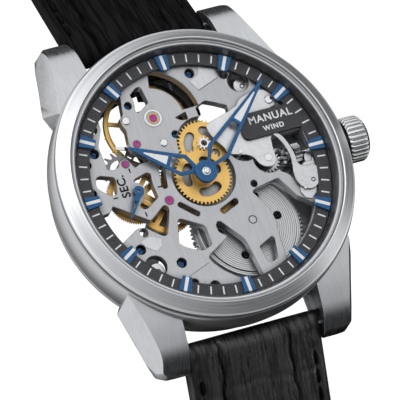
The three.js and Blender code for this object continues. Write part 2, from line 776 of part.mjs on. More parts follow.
// Fork with two arms over the escape wheel and a slotted horn towards the balance.
function palletFork() {
  const { pallet, escape, balance } = AXIS;
  const toEscape = bearing(pallet, escape);
  const toBalance = bearing(pallet, balance);
  const layer = [6.8, 7.0];
  const horn = polar(3.0, toBalance, pallet);
  const leftStone = polar(2.35, toEscape + rad(62), pallet);
  const rightStone = polar(2.35, toEscape - rad(62), pallet);
  const across = toBalance + Math.PI / 2;
  return join(
    arm(pallet, horn, 0.22, layer),
    arm(polar(0.38, across, horn), polar(3.55, toBalance + 0.12, pallet), 0.13, layer),
    arm(polar(-0.38, across, horn), polar(3.55, toBalance - 0.12, pallet), 0.13, layer),
    arm(polar(0.4, across, horn), polar(-0.4, across, horn), 0.16, layer),
    arm(pallet, leftStone, 0.25, layer),
    arm(pallet, rightStone, 0.25, layer),
    arbor(pallet, 0.3, 0.1, [6.35, 7.35], 0.3),
  );
}
add("pallet_fork", palletFork(), "polished");

function balanceWheel() {
  const { balance } = AXIS;
  const [low, high] = Z.balance;
  const rim = ring(BALANCE_R - 0.7, BALANCE_R, Z.balance, 32, balance);
  const spokes = [40, 160, 280].map((degrees) => {
    return arm(balance, polar(BALANCE_R - 0.45, rad(degrees), balance), 0.3, [low + 0.15, high - 0.2]);
  });
  const [x, y] = polar(0.85, bearing(AXIS.balance, AXIS.pallet), balance);
  return join(
    rim,
    ...spokes,
    disc(0.75, [low, high], 10, balance),
    disc(1.1, [6.35, 6.6], 14, balance),
    disc(0.13, [6.5, 7.1], 5, [x, y]),
    arbor(balance, 0.28, 0.1, [4.5, 7.3], 0.4),
  );
}
add("balance_wheel", balanceWheel(), "gold");
add("hairspring", spiral(AXIS.balance, 0.55, 3.4, 4, 0.1, Z.hairspring, 10), "blue");

function regulator() {
  const { balance } = AXIS;
  const layer = [3.05, 3.35];
  const tail = polar(5.6, rad(48), balance);
  const body = join(disc(1.9, layer, 24, balance), arm(balance, tail, 0.35, layer));
  return cut(body, disc(1.1, [2.5, 4], 20, balance));
}
add("regulator", regulator(), "polished");

// ---------------------------------------------------------------- motion works and hands
const cannonMesh = meshRadii(distance(AXIS.centre, AXIS.minute), TEETH.minute, TEETH.cannon);
const hourMesh = meshRadii(distance(AXIS.centre, AXIS.minute), TEETH.hour, TEETH.minutePinion);
const minuteLine = bearing(AXIS.centre, AXIS.minute);
const minutePhase = meshPhase(TEETH.cannon, 0, TEETH.minute, minuteLine);
const minutePinionPhase = 0;
const hourPhase = meshPhase(TEETH.minutePinion, minutePinionPhase, TEETH.hour, minuteLine + Math.PI);

function cannonPinion() {
  const toothed = gear({
    teeth: TEETH.cannon, radius: cannonMesh.pinion, module: cannonMesh.module, centre: AXIS.centre,
    layer: [7.85, 8.2], flatTops: true,
  });
  const body = join(toothed, disc(0.62, [7.2, Z.stackTop - 0.1], 20));
  return cut(body, disc(0.4, [7, 10.3], 16));
}
add("cannon_pinion", cannonPinion(), "polished");

function minuteWheel() {
  const { minute: centre } = AXIS;
  const shape = shapeOf(gearPoints(TEETH.minute, cannonMesh.wheel, cannonMesh.module, minutePhase, centre));
  shape.holes.push(...spokeHoles(3, 1.5, 2.75, 1.7, centre, rad(40)));
  const body = join(
    plate(shape, Z.minuteWheel),
    gear({
      teeth: TEETH.minutePinion, radius: hourMesh.pinion, module: hourMesh.module, phase: minutePinionPhase,
      centre, layer: [8.05, 8.75], flatTops: true,
    }),
  );
  return cut(body, disc(0.42, [7.5, 9], 12, centre));
}
add("minute_wheel", minuteWheel(), "gold");

function hourWheel() {
  const shape = shapeOf(gearPoints(TEETH.hour, hourMesh.wheel, hourMesh.module, hourPhase, AXIS.centre));
  shape.holes.push(...spokeHoles(3, 1.6, 2.95, 2.3, AXIS.centre, rad(-80)));
  return cut(join(plate(shape, Z.hourWheel), disc(0.98, [8.3, 10.1], 24)), disc(0.72, [8, 11], 20));
}
add("hour_wheel", hourWheel(), "gold");

// Points given as (distance along, distance across) a hand, laid at its angle.
function turnedPoints(points, angle, centre) {
  return points.map(([r, side]) => polar(Math.hypot(r, side), angle + Math.atan2(side, r), centre));
}

// A skeleton hand: two rails that open to shoulders and close at the tip, with a cross bar.
function handShape(length, shoulder, width, rail, crossBar, hubR, angle, centre) {
  const place = (points) => turnedPoints(points, angle, centre);
  const outline = [[hubR * 0.9, -hubR * 0.4], [shoulder, -width], [length - 0.25, -0.16], [length, 0]];
  const half = [...outline, ...outline.slice(0, 3).reverse().map(([r, side]) => [r, -side])];
  const shape = shapeOf(place(half));
  const inner = width - rail * 1.15;
  const sideAt = (r) => inner * (1 - (r - shoulder) / (length - 2 - shoulder));
  const near = crossBar - rail / 2;
  const far = crossBar + rail / 2;
  const opening = [
    [hubR + 0.35, -0.25], [shoulder + 0.1, -inner], [near, -sideAt(near)],
    [near, sideAt(near)], [shoulder + 0.1, inner], [hubR + 0.35, 0.25],
  ];
  const tip = [[far, -sideAt(far)], [length - 2.4, -0.09], [length - 2.4, 0.09], [far, sideAt(far)]];
  [opening, tip].forEach((points) => {
    shape.holes.push(new THREE.Path(vectors(place(points))));
  });
  return shape;
}

function hourHand() {
  const shape = handShape(11.4, 3.2, 1.65, 0.5, 5.3, 1.6, HOUR_ANGLE, AXIS.centre);
  const body = join(plate(shape, Z.hourHand), disc(1.55, Z.hourHand, 28));
  return cut(body, disc(1.05, [9, 11], 24));
}
add("hour_hand", hourHand(), "blue");

function minuteHand() {
  const shape = handShape(16.7, 3.7, 1.7, 0.5, 9.0, 1.4, MINUTE_ANGLE, AXIS.centre);
  const body = join(plate(shape, Z.minuteHand), disc(1.6, [10.2, Z.minuteHand[1]], 28));
  return cut(body, disc(0.7, [9, 11], 20));
}
add("minute_hand", minuteHand(), "blue");

function secondsHand() {
  const { fourth } = AXIS;
  const place = (points) => turnedPoints(points, SECONDS_ANGLE, fourth);
  const shape = shapeOf(place([[0.5, -0.25], [1.4, -0.45], [5, 0], [1.4, 0.45], [0.5, 0.25]]));
  shape.holes.push(new THREE.Path(vectors(place([[1.55, -0.22], [3.4, 0], [1.55, 0.22]]))));
  const body = join(plate(shape, Z.secondsHand), disc(0.75, Z.secondsHand, 20, fourth));
  return cut(body, disc(0.28, [9, 10], HOLE, fourth));
}
add("seconds_hand", secondsHand(), "blue");

// ---------------------------------------------------------------- keyless works
const settingGap = distance(AXIS.intermediate, AXIS.setting);
const settingMesh = meshRadii(settingGap, TEETH.intermediate, TEETH.setting);
const intermediateLine = bearing(AXIS.minute, AXIS.intermediate);
const intermediatePhase = meshPhase(TEETH.minute, minutePhase, TEETH.intermediate, intermediateLine);
const settingLine = bearing(AXIS.intermediate, AXIS.setting);
const settingPhase = meshPhase(TEETH.intermediate, intermediatePhase, TEETH.setting, settingLine);
function keylessWheel(teeth, radius, phase, centre) {
  const module = settingMesh.module * 0.95;
  const body = gear({ teeth, radius, module, phase, centre, layer: Z.minuteWheel });
  return cut(body, disc(0.42, [7, 9], 12, centre));
}
add(
  "intermediate_wheel",
  keylessWheel(TEETH.intermediate, settingMesh.wheel - 0.08, intermediatePhase, AXIS.intermediate),
  "steel",
);
add(
  "setting_wheel",
  keylessWheel(TEETH.setting, settingMesh.pinion - 0.05, settingPhase, AXIS.setting),
  "steel",
);

function crown() {
  const flutes = 24;
  const outline = [];
  for (let i = 0; i < flutes; i++) {
    const middle = (i * 2 * Math.PI) / flutes;
    const step = (2 * Math.PI) / flutes;
    outline.push(polar(CROWN_R, middle), polar(CROWN_R - 0.23, middle + step / 2));
  }
  const fluted = solid(alongX(shapeOf(outline), CROWN_X, 2.6).translate(0, 0, STEM_Z));
  const capPoints = [[0, 0], [3.1, 0], [3.1, 2.65], [2.6, 3.05], [0, 3.15]];
  const cap = new THREE.LatheGeometry(vectors(capPoints), 24);
  const domed = solid(cap.rotateZ(-Math.PI / 2).translate(CROWN_X, 0, STEM_Z));
  const sleeveRoom = pinX(1.35, [CROWN_X - 1, CROWN_X + 1.3], [0, STEM_Z], 16);
  return cut(join(fluted, domed), sleeveRoom, pinX(0.5, [22.5, 24.1], [0, STEM_Z], 12));
}
add("crown", crown(), "steel");

function windingStem() {
  const at = [0, STEM_Z];
  return join(
    pinX(0.42, [11.4, 24.0], at, 12),
    pinX(0.62, [16.4, 21.2], at, 12),
    box([11.9, 13.9], [-0.38, 0.38], [STEM_Z - 0.38, STEM_Z + 0.38]),
  );
}
add("winding_stem", windingStem(), "polished");

// Pinions on the stem, toothed round their rims.
function stemPinion(teeth, [x0, x1], tip, root, bore) {
  const outline = [];
  const step = (2 * Math.PI) / teeth;
  for (let i = 0; i < teeth; i++) {
    const middle = i * step + step / 2;
    outline.push(polar(tip, middle), polar(root, middle + step / 2));
  }
  const blank = solid(alongX(shapeOf(outline), x0, x1 - x0).translate(0, 0, STEM_Z));
  return cut(blank, pinX(bore, [x0 - 1, x1 + 1], [0, STEM_Z], 14));
}
const PINION_BORE = 0.58;
add("winding_pinion", stemPinion(16, [13.95, 15.0], 1.6, 1.3, PINION_BORE), "steel");

function slidingPinion() {
  const waist = pinX(1.0, [12.5, 13.4], [0, STEM_Z], 16);
  return join(
    stemPinion(14, [12.1, 12.6], 1.5, 1.2, PINION_BORE),
    stemPinion(14, [13.3, 13.8], 1.5, 1.2, PINION_BORE),
    cut(waist, pinX(PINION_BORE, [12, 14], [0, STEM_Z], 14)),
  );
}
add("sliding_pinion", slidingPinion(), "steel");

const LEVER_PIVOT = [15.2, -3.4];
const YOKE_PIVOT = [13.3, -5.6];
function settingLever() {
  const layer = [8.55, 8.8];
  const pivot = LEVER_PIVOT;
  return cut(
    join(
      arm(pivot, [15.5, -1.1], 0.5, layer),
      arm(pivot, [13.6, -4.7], 0.45, layer),
      disc(0.9, layer, 16, pivot),
    ),
    disc(0.32, [8, 9], HOLE, pivot),
  );
}
add("setting_lever", settingLever(), "polished");

function yoke() {
  const layer = [9.2, 9.4];
  const pivot = YOKE_PIVOT;
  return cut(
    join(
      arm(pivot, [12.75, -2.8], 0.36, layer),
      arm([12.75, -2.8], [12.55, 0.2], 0.3, layer),
      arm([12.55, 0.2], [12.25, 2.35], 0.24, layer),
      disc(0.75, layer, 16, pivot),
    ),
    disc(0.32, [8, 10], HOLE, pivot),
  );
}
add("yoke", yoke(), "polished");

function leverJumper() {
  const layer = [8.92, 9.12];
  const shape = shapeOf([
    [13.2, -3.9], [13.3, -2.6], [14.6, -1.95], [15.7, -2], [16, -1.5], [16.1, -3.2], [15.1, -5.6],
    [14.6, -6.6], [13.7, -7.3], [12.9, -6.9], [12.5, -5.9],
  ]);
  const yokePost = disc(0.24, [9.0, 9.45], HOLE, YOKE_PIVOT);
  const leverPost = disc(0.24, [8.4, 9.0], HOLE, LEVER_PIVOT);
  return join(plate(shape, layer), yokePost, leverPost);
}
add("setting_lever_jumper", leverJumper(), "polished");

function click() {
  const layer = [2.9, 3.25];
  const pivot = [-2.6, -13.6];
  return cut(
    join(
      disc(0.85, layer, 16, pivot),
      arm(pivot, [-1.75, -12.55], 0.32, layer),
      arm(pivot, [-4.0, -13.9], 0.35, layer),
    ),
    disc(0.35, [2, 4], HOLE, pivot),
  );
}
add("click", click(), "steel");

function clickSpring() {
  const layer = [2.95, 3.2];
  return join(
    arm([-6.2, -15.4], [-4.6, -14.9], 0.12, layer),
    disc(0.6, [2.9, 3.3], 12, [-6.6, -15.4]),
    disc(0.3, [3.2, 4.4], 12, [-6.6, -15.4]),
  );
}
add("click_spring", clickSpring(), "polished");

// ---------------------------------------------------------------- strap
// Centre line of a strap half in the Y-Z plane, as straight and curved runs from the spring bar.
function strapPath(end, dropDeg, runs) {
  let heading = rad(dropDeg);
  let [y, z] = [LUG_Y, BAR_Z];
  let travelled = 0;
  const points = [{ y: end * y, z, heading, s: 0 }];
  runs.forEach(({ length, bend = 0, steps = 1 }) => {
    for (let i = 0; i < steps; i++) {
      const stepBend = rad(bend) / steps;
      heading += stepBend / 2;
      y += (Math.cos(heading) * length) / steps;
      z -= (Math.sin(heading) * length) / steps;
      heading += stepBend / 2;
      travelled += length / steps;
      points.push({ y: end * y, z, heading, s: travelled });
    }
  });
  return points;
}

// A tapered band along that line: width across X, thickness across the path.
function band(path, end, total, thickness, widths) {
  const positions = [];
  path.forEach(({ y, z, heading, s }) => {
    const share = s / total;
    const half = (thickness[0] + (thickness[1] - thickness[0]) * Math.min(1, share * 1.6)) / 2;
    const wide = (widths[0] + (widths[1] - widths[0]) * share) / 2;
    const [outY, outZ] = [end * Math.sin(heading) * half, Math.cos(heading) * half];
    positions.push(-wide, y + outY, z + outZ, wide, y + outY, z + outZ);
    positions.push(wide, y - outY, z - outZ, -wide, y - outY, z - outZ);
  });
  const index = [];
  const count = path.length;
  for (let i = 0; i + 1 < count; i++) {
    for (let j = 0; j < 4; j++) {
      const [a, b] = [4 * i + j, 4 * i + ((j + 1) % 4)];
      index.push(a, b, b + 4, a, b + 4, a + 4);
    }
  }
  const last = 4 * (count - 1);
  index.push(0, 2, 1, 0, 3, 2, last, last + 1, last + 2, last, last + 2, last + 3);
  const geometry = new THREE.BufferGeometry();
  geometry.setAttribute("position", new THREE.Float32BufferAttribute(positions, 3));
  geometry.setIndex(index);
  return solid(geometry);
}

const STRAP_LAYERS = [STRAP_THICK, STRAP_THIN];
const STRAP_ENDS = [STRAP_W, STRAP_TAPER_W];
function lugEnd(end) {
  const at = [end * LUG_Y, BAR_Z];
  return {
    roll: pinX(STRAP_THICK / 2, [-STRAP_W / 2, STRAP_W / 2], at, 20),
    tunnel: pinX(1.05, [-12, 12], at, 14),
  };
}
const lengthOf = (runs) => runs.reduce((sum, { length }) => sum + length, 0);

// 12 o'clock half: straight, then curving down to hang, with the buckle at its end.
const STRAP_12_RUNS = [{ length: 24 }, { length: 22.7, bend: 65, steps: 8 }, { length: 22 }];
const path12 = strapPath(1, 25, STRAP_12_RUNS);
const total12 = lengthOf(STRAP_12_RUNS);
const seam12 = path12[path12.length - 2];
const end12 = path12[path12.length - 1];
const roll12 = lugEnd(1);
const upper12 = band(path12.slice(0, -1), 1, total12, STRAP_LAYERS, STRAP_ENDS);
add("strap_12_upper", cut(join(upper12, roll12.roll), roll12.tunnel), "leather");

const FOLD_GAP = 0.05;
const BUCKLE_AT = [end12.y, end12.z];
function strap12Lower() {
  const start = { ...seam12, z: seam12.z - FOLD_GAP };
  const body = band([start, end12], 1, total12, STRAP_LAYERS, STRAP_ENDS);
  const roll = pinX(1.3, [-9, 9], BUCKLE_AT, 16);
  const [y, z] = BUCKLE_AT;
  const slot = box([-1.6, 1.6], [y - 3, y + 3], [z - 3, z + 3.2]);
  return cut(join(body, roll), pinX(0.8, [-12, 12], BUCKLE_AT, 12), slot);
}
add("strap_12_lower", strap12Lower(), "leather");
add(
  "buckle_bar",
  join(pinX(0.6, [-9.15, 9.15], BUCKLE_AT, 12), pinX(0.4, [-10.6, 10.6], BUCKLE_AT, HOLE)),
  "polished",
);

function buckleFrame() {
  const [y, z] = BUCKLE_AT;
  const drop = BUCKLE_DROP;
  const arms = box([-11, 11], [y - 1.1, y + 1.1], [z - drop, z + 1.3]);
  const opening = box([-9.4, 9.4], [y - 3, y + 3], [z - drop + 2.1, z + 3]);
  return cut(arms, opening, pinX(0.5, [-12, 12], BUCKLE_AT, 12));
}
add("buckle_frame", buckleFrame(), "polished");

function buckleTongue() {
  const [y, z] = BUCKLE_AT;
  const body = join(
    pinX(1.25, [-1.1, 1.1], BUCKLE_AT, 16),
    box([-1.0, 1.0], [y + 0.2, y + 1.15], [z - 7.0, z - 0.3]),
    box([-1.0, 1.0], [y + 1.15, y + 1.9], [z - 9.0, z - 6.2]),
    box([-1.0, 1.0], [y + 0.6, y + 1.7], [z - 7.0, z - 6.2]),
  );
  return cut(body, pinX(0.75, [-2, 2], BUCKLE_AT, 12));
}
add("buckle_tongue", buckleTongue(), "polished");

// Keepers are loops round the strap with room for the other half to tuck in.
function keeper(zLow, zHigh) {
  const [y] = BUCKLE_AT;
  const outer = box([-10.6, 10.6], [y - 2.35, y + 4.4], [zLow, zHigh]);
  return cut(outer, box([-9.6, 9.6], [y - 1.35, y + 3.4], [zLow - 1, zHigh + 1]));
}
add("fixed_keeper", keeper(BUCKLE_AT[1] + 4.6, BUCKLE_AT[1] + 8.6), "leather");
add("free_keeper", keeper(BUCKLE_AT[1] + 14, BUCKLE_AT[1] + 18), "leather");

// 6 o'clock half: straight, down, then curling inwards to a flat tail with holes.
const STRAP_6_RUNS = [
  { length: 16 },
  { length: 22.3, bend: 58, steps: 7 },
  { length: 25 },
  { length: 39.3, bend: 90, steps: 9 },
  { length: 13 },
];
const path6 = strapPath(-1, 32, STRAP_6_RUNS);
const total6 = lengthOf(STRAP_6_RUNS);
const SEAM_6 = 8;
const roll6 = lugEnd(-1);
const upper6 = band(path6.slice(0, SEAM_6 + 1), -1, total6, STRAP_LAYERS, STRAP_ENDS);
add("strap_6_upper", cut(join(upper6, roll6.roll), roll6.tunnel), "leather");

// A hole for the buckle tongue, square to the strap at a distance along its line.
function tongueHole(path, along) {
  const next = path.findIndex(({ s }) => s >= along);
  const [before, after] = [path[next - 1], path[next]];
  const share = (along - before.s) / (after.s - before.s);
  const y = before.y + (after.y - before.y) * share;
  const z = before.z + (after.z - before.z) * share;
  const tilt = Math.atan2(after.z - before.z, after.y - before.y);
  const bore = new THREE.CylinderGeometry(0.9, 0.9, 8, HOLE);
  return solid(bore.rotateX(Math.PI / 2 + tilt).translate(0, y, z));
}

function strap6Lower() {
  const path = path6.slice(SEAM_6).map((point) => ({ ...point }));
  path[0].z -= FOLD_GAP;
  const body = band(path, -1, total6, STRAP_LAYERS, STRAP_ENDS);
  return cut(body, ...[8, 14, 20, 26].map((fromTip) => tongueHole(path6, total6 - fromTip)));
}
add("strap_6_lower", strap6Lower(), "leather");

export default watch;
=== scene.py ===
"""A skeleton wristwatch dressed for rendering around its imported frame. Lengths below are millimetres."""

import math

import bmesh
import bpy
import numpy as np
from mathutils import Matrix, Vector


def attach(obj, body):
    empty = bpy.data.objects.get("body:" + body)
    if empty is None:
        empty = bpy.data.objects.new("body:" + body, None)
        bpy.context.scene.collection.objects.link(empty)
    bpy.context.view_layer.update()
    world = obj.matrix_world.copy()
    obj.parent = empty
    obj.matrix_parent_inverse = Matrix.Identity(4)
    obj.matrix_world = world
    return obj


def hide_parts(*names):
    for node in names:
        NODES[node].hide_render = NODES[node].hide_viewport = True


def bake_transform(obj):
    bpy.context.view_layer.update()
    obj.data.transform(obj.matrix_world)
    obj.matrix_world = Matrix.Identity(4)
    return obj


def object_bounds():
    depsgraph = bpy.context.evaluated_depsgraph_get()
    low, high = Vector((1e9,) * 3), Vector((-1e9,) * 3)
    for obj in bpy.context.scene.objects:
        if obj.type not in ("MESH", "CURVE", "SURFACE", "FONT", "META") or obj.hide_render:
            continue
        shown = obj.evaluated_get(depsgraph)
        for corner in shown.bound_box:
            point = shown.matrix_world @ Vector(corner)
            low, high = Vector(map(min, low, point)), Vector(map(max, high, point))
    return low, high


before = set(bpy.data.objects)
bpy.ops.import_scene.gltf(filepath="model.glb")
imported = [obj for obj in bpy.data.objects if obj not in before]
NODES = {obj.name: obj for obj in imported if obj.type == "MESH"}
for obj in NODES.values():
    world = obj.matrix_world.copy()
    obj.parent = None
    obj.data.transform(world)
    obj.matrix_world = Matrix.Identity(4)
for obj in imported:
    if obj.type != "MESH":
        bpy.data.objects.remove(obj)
CAD_BOX = [list(corner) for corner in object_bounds()]
MM = 0.001
TAU = 2 * math.pi
QUARTER = math.pi / 2
WELD_REACH = 2e-7  # metres; nearer points are made one
SHARP = 26  # faces that meet at more than this many degrees show an edge


# ------------------------------------------------------------------ shared layout
LUG_Y, BAR_Z = 22.9, 3.2  # the spring bars
STEM_Z, CROWN_X = 7.3, 21.75
CROWN_FLUTES = 28
MIDDLE = (0, 0)
HEAD = "watch_head"
AXIS = {
    "centre": MIDDLE,
    "balance": (-3.95, 9.79),
    "pallet": (-7.55, 6.75),
    "escape": (-10.2, 4.37),
    "fourth": (-9.95, 0),
    "third": (-6.04, -2.24),
    "barrel": (4.42, -7.95),
    "minute": (1.85, 4.54),
    "intermediate": (7.04, 2.65),
    "setting": (9.83, 0.03),
    "crown_wheel": (12.3, 0.3),
}
MINUTE_ANGLE = math.radians(40.6)
HOUR_ANGLE = math.radians(146.3)
SECONDS_ANGLE = math.radians(235.7)
PLATE_TOP = 8.9
DIAL_TOP = 9.52


# ------------------------------------------------------------------ outlines
def polar(radius, angle, centre=(0, 0)):
    return (centre[0] + radius * math.cos(angle), centre[1] + radius * math.sin(angle))


def circle(radius, centre=(0, 0), count=None):
    count = count or max(20, int(radius * 14))
    return [polar(radius, TAU * i / count, centre) for i in range(count)]


def arc(radius, start, end, centre=(0, 0), count=16):
    return [polar(radius, start + (end - start) * i / count, centre) for i in range(count + 1)]


def rounded(points, radius, steps=4, closed=True):
    """The outline with each corner replaced by a small curve."""
    out = []
    count = len(points)
    for i, here in enumerate(points):
        if not closed and i in (0, count - 1):
            out.append(here)
            continue
        p = Vector(here)
        before = Vector(points[i - 1]) - p
        after = Vector(points[(i + 1) % count]) - p
        cut = min(radius, 0.45 * before.length, 0.45 * after.length)
        a = p + before.normalized() * cut
        b = p + after.normalized() * cut
        for k in range(steps + 1):
            t = k / steps
            q = a * (1 - t) ** 2 + p * 2 * t * (1 - t) + b * t**2
            out.append((q.x, q.y))
    return out


def capsule(a, b, radius, count=12):
    along = math.atan2(b[1] - a[1], b[0] - a[0])
    first = arc(radius, along - QUARTER, along + QUARTER, b, count)
    return first + arc(radius, along + QUARTER, along + 3 * QUARTER, a, count)


def turned(points, angle, centre=(0, 0)):
    """Points about the origin, turned and then moved to a centre."""
    return [polar(math.hypot(x, y), angle + math.atan2(y, x), centre) for x, y in points]


def bar_outline(a, b, half):
    """Outline of a straight bar from a to b."""
    across = math.atan2(b[1] - a[1], b[0] - a[0]) + QUARTER
    return [polar(side, across, end) for side, end in ((half, a), (half, b), (-half, b), (-half, a))]


# ------------------------------------------------------------------ meshes
def add_object(name, data):
    made = bpy.data.objects.new(name, data)
    bpy.context.scene.collection.objects.link(made)
    return made


def baked(piece):
    """A mesh of the object's shape with its modifiers."""
    bpy.context.view_layer.update()
    shape = piece.evaluated_get(bpy.context.evaluated_depsgraph_get())
    return bpy.data.meshes.new_from_object(shape)


def weld(mesh, reach):
    clean = bmesh.new()
    clean.from_mesh(mesh)
    bmesh.ops.remove_doubles(clean, verts=clean.verts, dist=reach)
    bmesh.ops.recalc_face_normals(clean, faces=clean.faces)
    clean.to_mesh(mesh)
    clean.free()


def finish_mesh(name, mesh, sharp=SHARP):
    mesh.polygons.foreach_set("use_smooth", [True] * len(mesh.polygons))
    mesh.set_sharp_from_angle(angle=math.radians(sharp))
    return add_object(name, mesh)


def mesh_piece(name, verts, faces, sharp=SHARP):
    mesh = bpy.data.meshes.new(name)
    mesh.from_pydata([tuple(c * MM for c in v) for v in verts], [], faces)
    weld(mesh, WELD_REACH)
    return finish_mesh(name, mesh, sharp)


def plate(name, loops, low, high, bevel=0.05, steps=0):
    """Flat part between two heights, with its edges broken. Loops inside loops are holes."""
    curve = bpy.data.curves.new(name, "CURVE")
    curve.dimensions = "2D"
    curve.fill_mode = "BOTH"
    for loop in loops:
        spline = curve.splines.new("POLY")
        spline.points.add(len(loop) - 1)
        spline.use_cyclic_u = True
        for point, (x, y) in zip(spline.points, loop):
            point.co = (x * MM, y * MM, 0, 1)
    curve.extrude = (high - low) / 2 * MM - bevel * MM
    curve.bevel_depth = bevel * MM
    curve.bevel_resolution = steps
    curve.offset = -bevel * MM
    holder = add_object(name, curve)
    mesh = baked(holder)
    bpy.data.objects.remove(holder)
    mesh.transform(Matrix.Translation((0, 0, (low + high) / 2 * MM)))
    weld(mesh, 5 * WELD_REACH)
    mesh.name = name
    return finish_mesh(name, mesh)


def lathe(name, profile, centre=(0, 0), count=144, closed=True, wave=None, sharp=SHARP):
    """Turned part about an axis along Z; wave(angle, radius) can change the radius."""
    verts, faces = [], []
    rows = len(profile)
    for i in range(count):
        angle = TAU * i / count
        for r, z in profile:
            x, y = polar(wave(angle, r) if wave else r, angle, centre)
            verts.append((x, y, z))
    for i in range(count):
        j = (i + 1) % count
        for k in range(rows if closed else rows - 1):
            n = (k + 1) % rows
            faces.append((i * rows + k, j * rows + k, j * rows + n, i * rows + n))
    return mesh_piece(name, verts, faces, sharp)


def prism(name, points, low, high):
    count = len(points)
    verts = [(x, y, low) for x, y in points] + [(x, y, high) for x, y in points]
    ends = [tuple(range(count)), tuple(range(count, 2 * count))]
    sides = [(i, (i + 1) % count, count + (i + 1) % count, count + i) for i in range(count)]
    return mesh_piece(name, verts, ends + sides)


def moved(piece, x, y, z, angle=0.0, axis="Z"):
    """Turns a part about one of its axes and then moves it to a point."""
    piece.data.transform(Matrix.Rotation(angle, 4, axis))
    piece.data.transform(Matrix.Translation((x * MM, y * MM, z * MM)))
    return piece


def turn_to_x(piece, x, y, z):
    """Lays a part made about +Z along +X and puts its start at a point."""
    return moved(piece, x, y, z, QUARTER, "Y")


def ring_profile(inner, outer, low, high, edge=0.06):
    corners = [(inner, low), (outer, low), (outer, high), (inner, high)]
    return rounded(corners, edge, 2)


def disc_profile(radius, low, high, edge=0.06):
    corners = [(0, low), (radius, low), (radius, high), (0, high)]
    return rounded(corners, edge, 2, closed=False)


def disc(name, radius, low, high, centre=(0, 0), edge=0.06, count=64):
    return lathe(name, disc_profile(radius, low, high, edge), centre, count, closed=False)


def ring(name, inner, outer, low, high, centre=(0, 0), edge=0.06, count=96):
    return lathe(name, ring_profile(inner, outer, low, high, edge), centre, count)


def joined(name, pieces):
    """One object from several parts that ride together."""
    merged = bmesh.new()
    for piece in pieces:
        merged.from_mesh(piece.data)
        bpy.data.objects.remove(piece)
    mesh = bpy.data.meshes.new(name)
    merged.to_mesh(mesh)
    merged.free()
    return finish_mesh(name, mesh)


def modify(piece, kind, **settings):
    modifier = piece.modifiers.new(kind.lower(), kind)
    for key, value in settings.items():
        setattr(modifier, key, value)


def settle(piece, helpers=()):
    """Bakes the modifiers of a piece into its mesh."""
    mesh = baked(piece)
    piece.modifiers.clear()
    piece.data = mesh
    mesh.set_sharp_from_angle(angle=math.radians(SHARP))
    for helper in helpers:
        bpy.data.objects.remove(helper)
    return piece


def boolean(piece, operation, *others):
    for other in others:
        modify(piece, "BOOLEAN", operation=operation, solver="EXACT", object=other)
    return settle(piece, others)


def cut_out(piece, *cutters):
    return boolean(piece, "DIFFERENCE", *cutters)


def paint(piece, material):
    piece.data.materials.clear()
    piece.data.materials.append(material)


def put(piece, body, material, slot, *stands_for):
    """Sets a piece on a body, in place of the CAD nodes that it stands for."""
    paint(piece, material)
    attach(piece, body)
    if stands_for:
        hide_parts(*stands_for)
    return piece


# ------------------------------------------------------------------ materials
class Nodes:
    """A small helper that builds a node tree."""

    def __init__(self, tree):
        self.tree = tree

    def node(self, kind, **inputs):
        made = self.tree.nodes.new(kind)
        for key, value in inputs.items():
            made.inputs[key.replace("_", " ")].default_value = value
        return made

    def link(self, source, target):
        self.tree.links.new(source, target)

    def remap(self, value, start, end, low, high):
        made = self.node("ShaderNodeMapRange", From_Min=start, From_Max=end, To_Min=low, To_Max=high)
        self.link(value, made.inputs["Value"])
        return made.outputs["Result"]

    def spread(self, value, low, high):
        """Stretches the usual span of a noise over a range."""
        return self.remap(value, 0.3, 0.7, low, high)

    def maths(self, operation, *values):
        made = self.node("ShaderNodeMath")
        made.operation = operation
        for socket, value in zip(made.inputs, values):
            if isinstance(value, (int, float)):
                socket.default_value = value
            else:
                self.link(value, socket)
        return made.outputs[0]

    def weighted(self, *parts):
        """Sum of values, each times its share."""
        total = None
        for value, share in parts:
            term = self.maths("MULTIPLY", value, share)
            total = term if total is None else self.maths("ADD", total, term)
        return total

    def mix_shaders(self, share, first, second):
        made = self.node("ShaderNodeMixShader")
        if isinstance(share, float):
            made.inputs[0].default_value = share
        else:
            self.link(share, made.inputs[0])
        self.link(first, made.inputs[1])
        self.link(second, made.inputs[2])
        return made.outputs[0]


